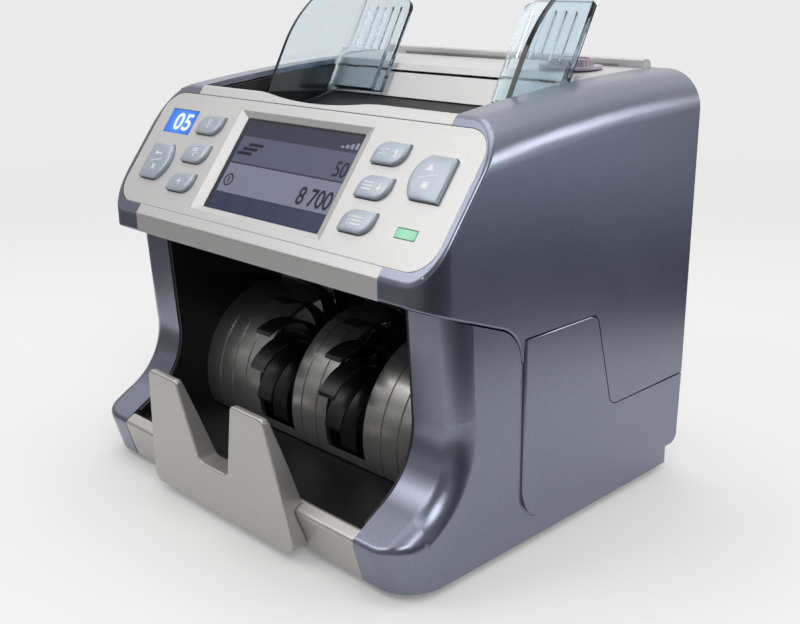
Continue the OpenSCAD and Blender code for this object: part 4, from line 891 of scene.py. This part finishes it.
# camera at the photograph's own viewpoint
view = {"azimuth": 46.01, "elevation": 17.56, "roll": -0.696, "lens": 48.94, "sensor": 36, "near": 0.01,
        "place": (0.4209, -0.38525, 0.2686)}
az, el, roll = (math.radians(view[k]) for k in ("azimuth", "elevation", "roll"))
back = Vector((math.sin(az) * math.cos(el), -math.cos(az) * math.cos(el), math.sin(el)))
level = Vector((math.cos(az), math.sin(az), 0))
upward = back.cross(level)
across = math.cos(roll) * level + math.sin(roll) * upward
upright = -math.sin(roll) * level + math.cos(roll) * upward
lens = bpy.data.cameras.new("photoCamera")
lens.sensor_width = view["sensor"]
lens.lens = view["lens"]
lens.clip_start = view["near"]
camera = addObject("photoCamera", lens)
camera.matrix_world = Matrix((
    (across.x, upright.x, back.x, view["place"][0]),
    (across.y, upright.y, back.y, view["place"][1]),
    (across.z, upright.z, back.z, view["place"][2]),
    (0, 0, 0, 1)))
bpy.context.scene.camera = camera

# pale floor in soft studio light, with dark surroundings that the paint reflects
studio = {
    "floor": "#ececeb", "bounce": "#9c9c9b", "far": 0.83, "haze": 0.25, "fade": (0.35, 1.3), "reach": 14,
    "wallAway": 6.0, "wallTall": 1.6, "ringTurns": 48,
    "roomMiddle": (-0.05, 0.09, 0.0), "roomInner": 0.38, "roomOuter": 2.6, "roomFoot": 0.003, "roomRise": 0.7,
    "roomPale": ((0.0, "#6a6a69"), (0.06, "#767675"), (0.3, "#a0a09f"), (0.6, "#e0e0df"), (1.0, "#f4f4f3")),
    "roomZones": (
        {"from": (0.985, -0.174, 0.0), "turn": (0.55, 0.9), "stops": (
            (0.0, "#24272f"), (0.07, "#1c1f27"), (0.3, "#3c414d"), (0.6, "#6a707e"), (1.0, "#868c9a"))},
        {"from": (0.866, 0.5, 0.0), "turn": (0.93, 0.985), "stops": (
            (0.0, "#343944"), (0.03, "#3a404c"), (0.06, "#626976"), (0.09, "#9aa1ae"), (0.13, "#ccd3df"),
            (0.3, "#dde2ea"), (1.0, "#dde2ea"))}),
    "skyDim": 0.2, "skyBright": 1.0, "skyFrom": (-0.35, 0.5, 0.8), "skySpan": (0.35, 0.85),
    "aim": (0.0, 0.0, 0.12),
    "lamps": (("rearBox", (1.3, 1.05, 0.6), (0.8, 0.4), 4.8),
              ("topBox", (0.0, 0.15, 1.4), (1.2, 1.0), 5.6),
              ("leftBox", (-0.65, -0.89, 0.82), (0.7, 0.5), 0.8),
              ("frontBox", (-0.57, -0.74, 1.02), (0.7, 0.5), 2.8),
              ("rightBox", (0.82, -0.54, 1.0), (0.6, 0.5), 4.6))}


def stageMesh(name, corners, faces, material, unseenBy=()):
    mesh = bpy.data.meshes.new(name)
    mesh.from_pydata(corners, [], faces)
    mesh.materials.append(material)
    plate = addObject(name, mesh)
    for ray in unseenBy:
        setattr(plate, "visible_" + ray, False)
    return plate


# a level ring of corners, so far from the middle and so high
def levelRing(away, high):
    steps = [2 * math.pi * i / studio["ringTurns"] for i in range(studio["ringTurns"])]
    return [(math.cos(a) * away, math.sin(a) * away, high) for a in steps]


def seenDirectly(tree):
    path = addNode(tree, "ShaderNodeLightPath")
    clear = addNode(tree, "ShaderNodeMath", {
        0: path.outputs["Is Camera Ray"], 1: path.outputs["Is Transmission Ray"]}, operation="MAXIMUM")
    shown = addNode(tree, "ShaderNodeMath", {
        0: clear.outputs["Value"], 1: path.outputs["Is Glossy Ray"]}, operation="MAXIMUM")
    return shown.outputs["Value"]


# painted floor board, matt and white, fading into an even white distance
floorBoard, tree, place = startMaterial("whiteFloorBoard")
shown = seenDirectly(tree)
tone = addNode(tree, "ShaderNodeMix", {
    "Factor": shown, 6: toLinear(studio["bounce"]), 7: toLinear(studio["floor"])}, data_type="RGBA")
board = addNode(tree, "ShaderNodeBsdfDiffuse", {"Color": tone.outputs[2]})
away = addNode(tree, "ShaderNodeVectorMath", {0: place}, operation="LENGTH")
fade = addNode(tree, "ShaderNodeMapRange", {
    "Value": away.outputs["Value"], "From Min": studio["fade"][0], "From Max": studio["fade"][1],
    "To Min": studio["haze"]}, interpolation_type="SMOOTHSTEP")
share = addNode(tree, "ShaderNodeMath", {0: fade.outputs["Result"], 1: shown}, operation="MULTIPLY")
distance = addNode(tree, "ShaderNodeEmission", {"Color": (1.0, 1.0, 1.0, 1.0), "Strength": studio["far"]})
surface = addNode(tree, "ShaderNodeMixShader", {
    0: share.outputs["Value"], 1: board.outputs["BSDF"], 2: distance.outputs["Emission"]})
addNode(tree, "ShaderNodeOutputMaterial", {"Surface": surface.outputs["Shader"]})
reach = studio["reach"]
stageMesh("floor", [(-reach, -reach, 0), (reach, -reach, 0), (reach, reach, 0), (-reach, reach, 0)],
          [(0, 1, 2, 3)], floorBoard)

# round wall far away, so that low views end in the same white
turns = studio["ringTurns"]
ringFaces = [(i, (i + 1) % turns, turns + (i + 1) % turns, turns + i) for i in range(turns)]
stageMesh("farWall", levelRing(studio["wallAway"], 0) + levelRing(studio["wallAway"], studio["wallTall"]),
          ringFaces, floorBoard, unseenBy=("diffuse", "volume_scatter", "shadow"))

# dark surroundings: a wide ring that only reflections see, dark to the right, rising to pale
surround, tree, place = startMaterial("darkSurround")
flat = addNode(tree, "ShaderNodeVectorMath", {0: place, 1: (1.0, 1.0, 0.0)}, operation="MULTIPLY")
away = addNode(tree, "ShaderNodeVectorMath", {0: flat.outputs["Vector"]}, operation="LENGTH")
outward = addNode(tree, "ShaderNodeMapRange", {
    "Value": away.outputs["Value"], "From Min": studio["roomInner"], "From Max": studio["roomOuter"]})
tone = addNode(tree, "ShaderNodeValToRGB", {"Fac": outward.outputs["Result"]},
               [(spot, toLinear(colour)) for spot, colour in studio["roomPale"]]).outputs["Color"]
toward = addNode(tree, "ShaderNodeVectorMath", {0: flat.outputs["Vector"]}, operation="NORMALIZE")
for zone in studio["roomZones"]:
    facing = addNode(tree, "ShaderNodeVectorMath", {
        0: toward.outputs["Vector"], 1: zone["from"]}, operation="DOT_PRODUCT")
    within = addNode(tree, "ShaderNodeMapRange", {
        "Value": facing.outputs["Value"], "From Min": zone["turn"][0], "From Max": zone["turn"][1]},
        interpolation_type="SMOOTHSTEP")
    shade = addNode(tree, "ShaderNodeValToRGB", {"Fac": outward.outputs["Result"]},
                    [(spot, toLinear(colour)) for spot, colour in zone["stops"]])
    tone = addNode(tree, "ShaderNodeMix", {
        "Factor": within.outputs["Result"], 6: tone, 7: shade.outputs["Color"]}, data_type="RGBA").outputs[2]
dim = addNode(tree, "ShaderNodeEmission", {"Color": tone, "Strength": 1.0})
addNode(tree, "ShaderNodeOutputMaterial", {"Surface": dim.outputs["Emission"]})
roomRing = stageMesh(
    "roomRing",
    levelRing(studio["roomInner"], studio["roomFoot"]) + levelRing(studio["roomOuter"], studio["roomRise"]),
    ringFaces, surround, unseenBy=("camera", "diffuse", "transmission", "volume_scatter", "shadow"))
roomRing.location = studio["roomMiddle"]

# studio light falls from above, and the level distance stays dim
world = bpy.data.worlds.new("studioWorld")
bpy.context.scene.world = world
world.use_nodes = True
tree = world.node_tree
tree.nodes.clear()
around = addNode(tree, "ShaderNodeTexCoord").outputs["Generated"]
facing = addNode(tree, "ShaderNodeVectorMath", {
    0: around, 1: Vector(studio["skyFrom"]).normalized()}, operation="DOT_PRODUCT")
strength = addNode(tree, "ShaderNodeMapRange", {
    "Value": facing.outputs["Value"], "From Min": studio["skySpan"][0], "From Max": studio["skySpan"][1],
    "To Min": studio["skyDim"], "To Max": studio["skyBright"]}, interpolation_type="SMOOTHSTEP")
sky = addNode(tree, "ShaderNodeBackground", {
    "Color": (1.0, 1.0, 1.0, 1.0), "Strength": strength.outputs["Result"]})
addNode(tree, "ShaderNodeOutputWorld", {"Surface": sky.outputs["Background"]})

for name, spot, size, power in studio["lamps"]:
    lamp = bpy.data.lights.new(name, "AREA")
    lamp.shape = "RECTANGLE"
    lamp.size, lamp.size_y = size
    lamp.energy = power
    holder = addObject(name, lamp)
    holder.location = spot
    holder.rotation_euler = (Vector(studio["aim"]) - Vector(spot)).to_track_quat("-Z", "Y").to_euler()
bpy.context.scene.view_settings.view_transform = "Standard"
print("studio ready")
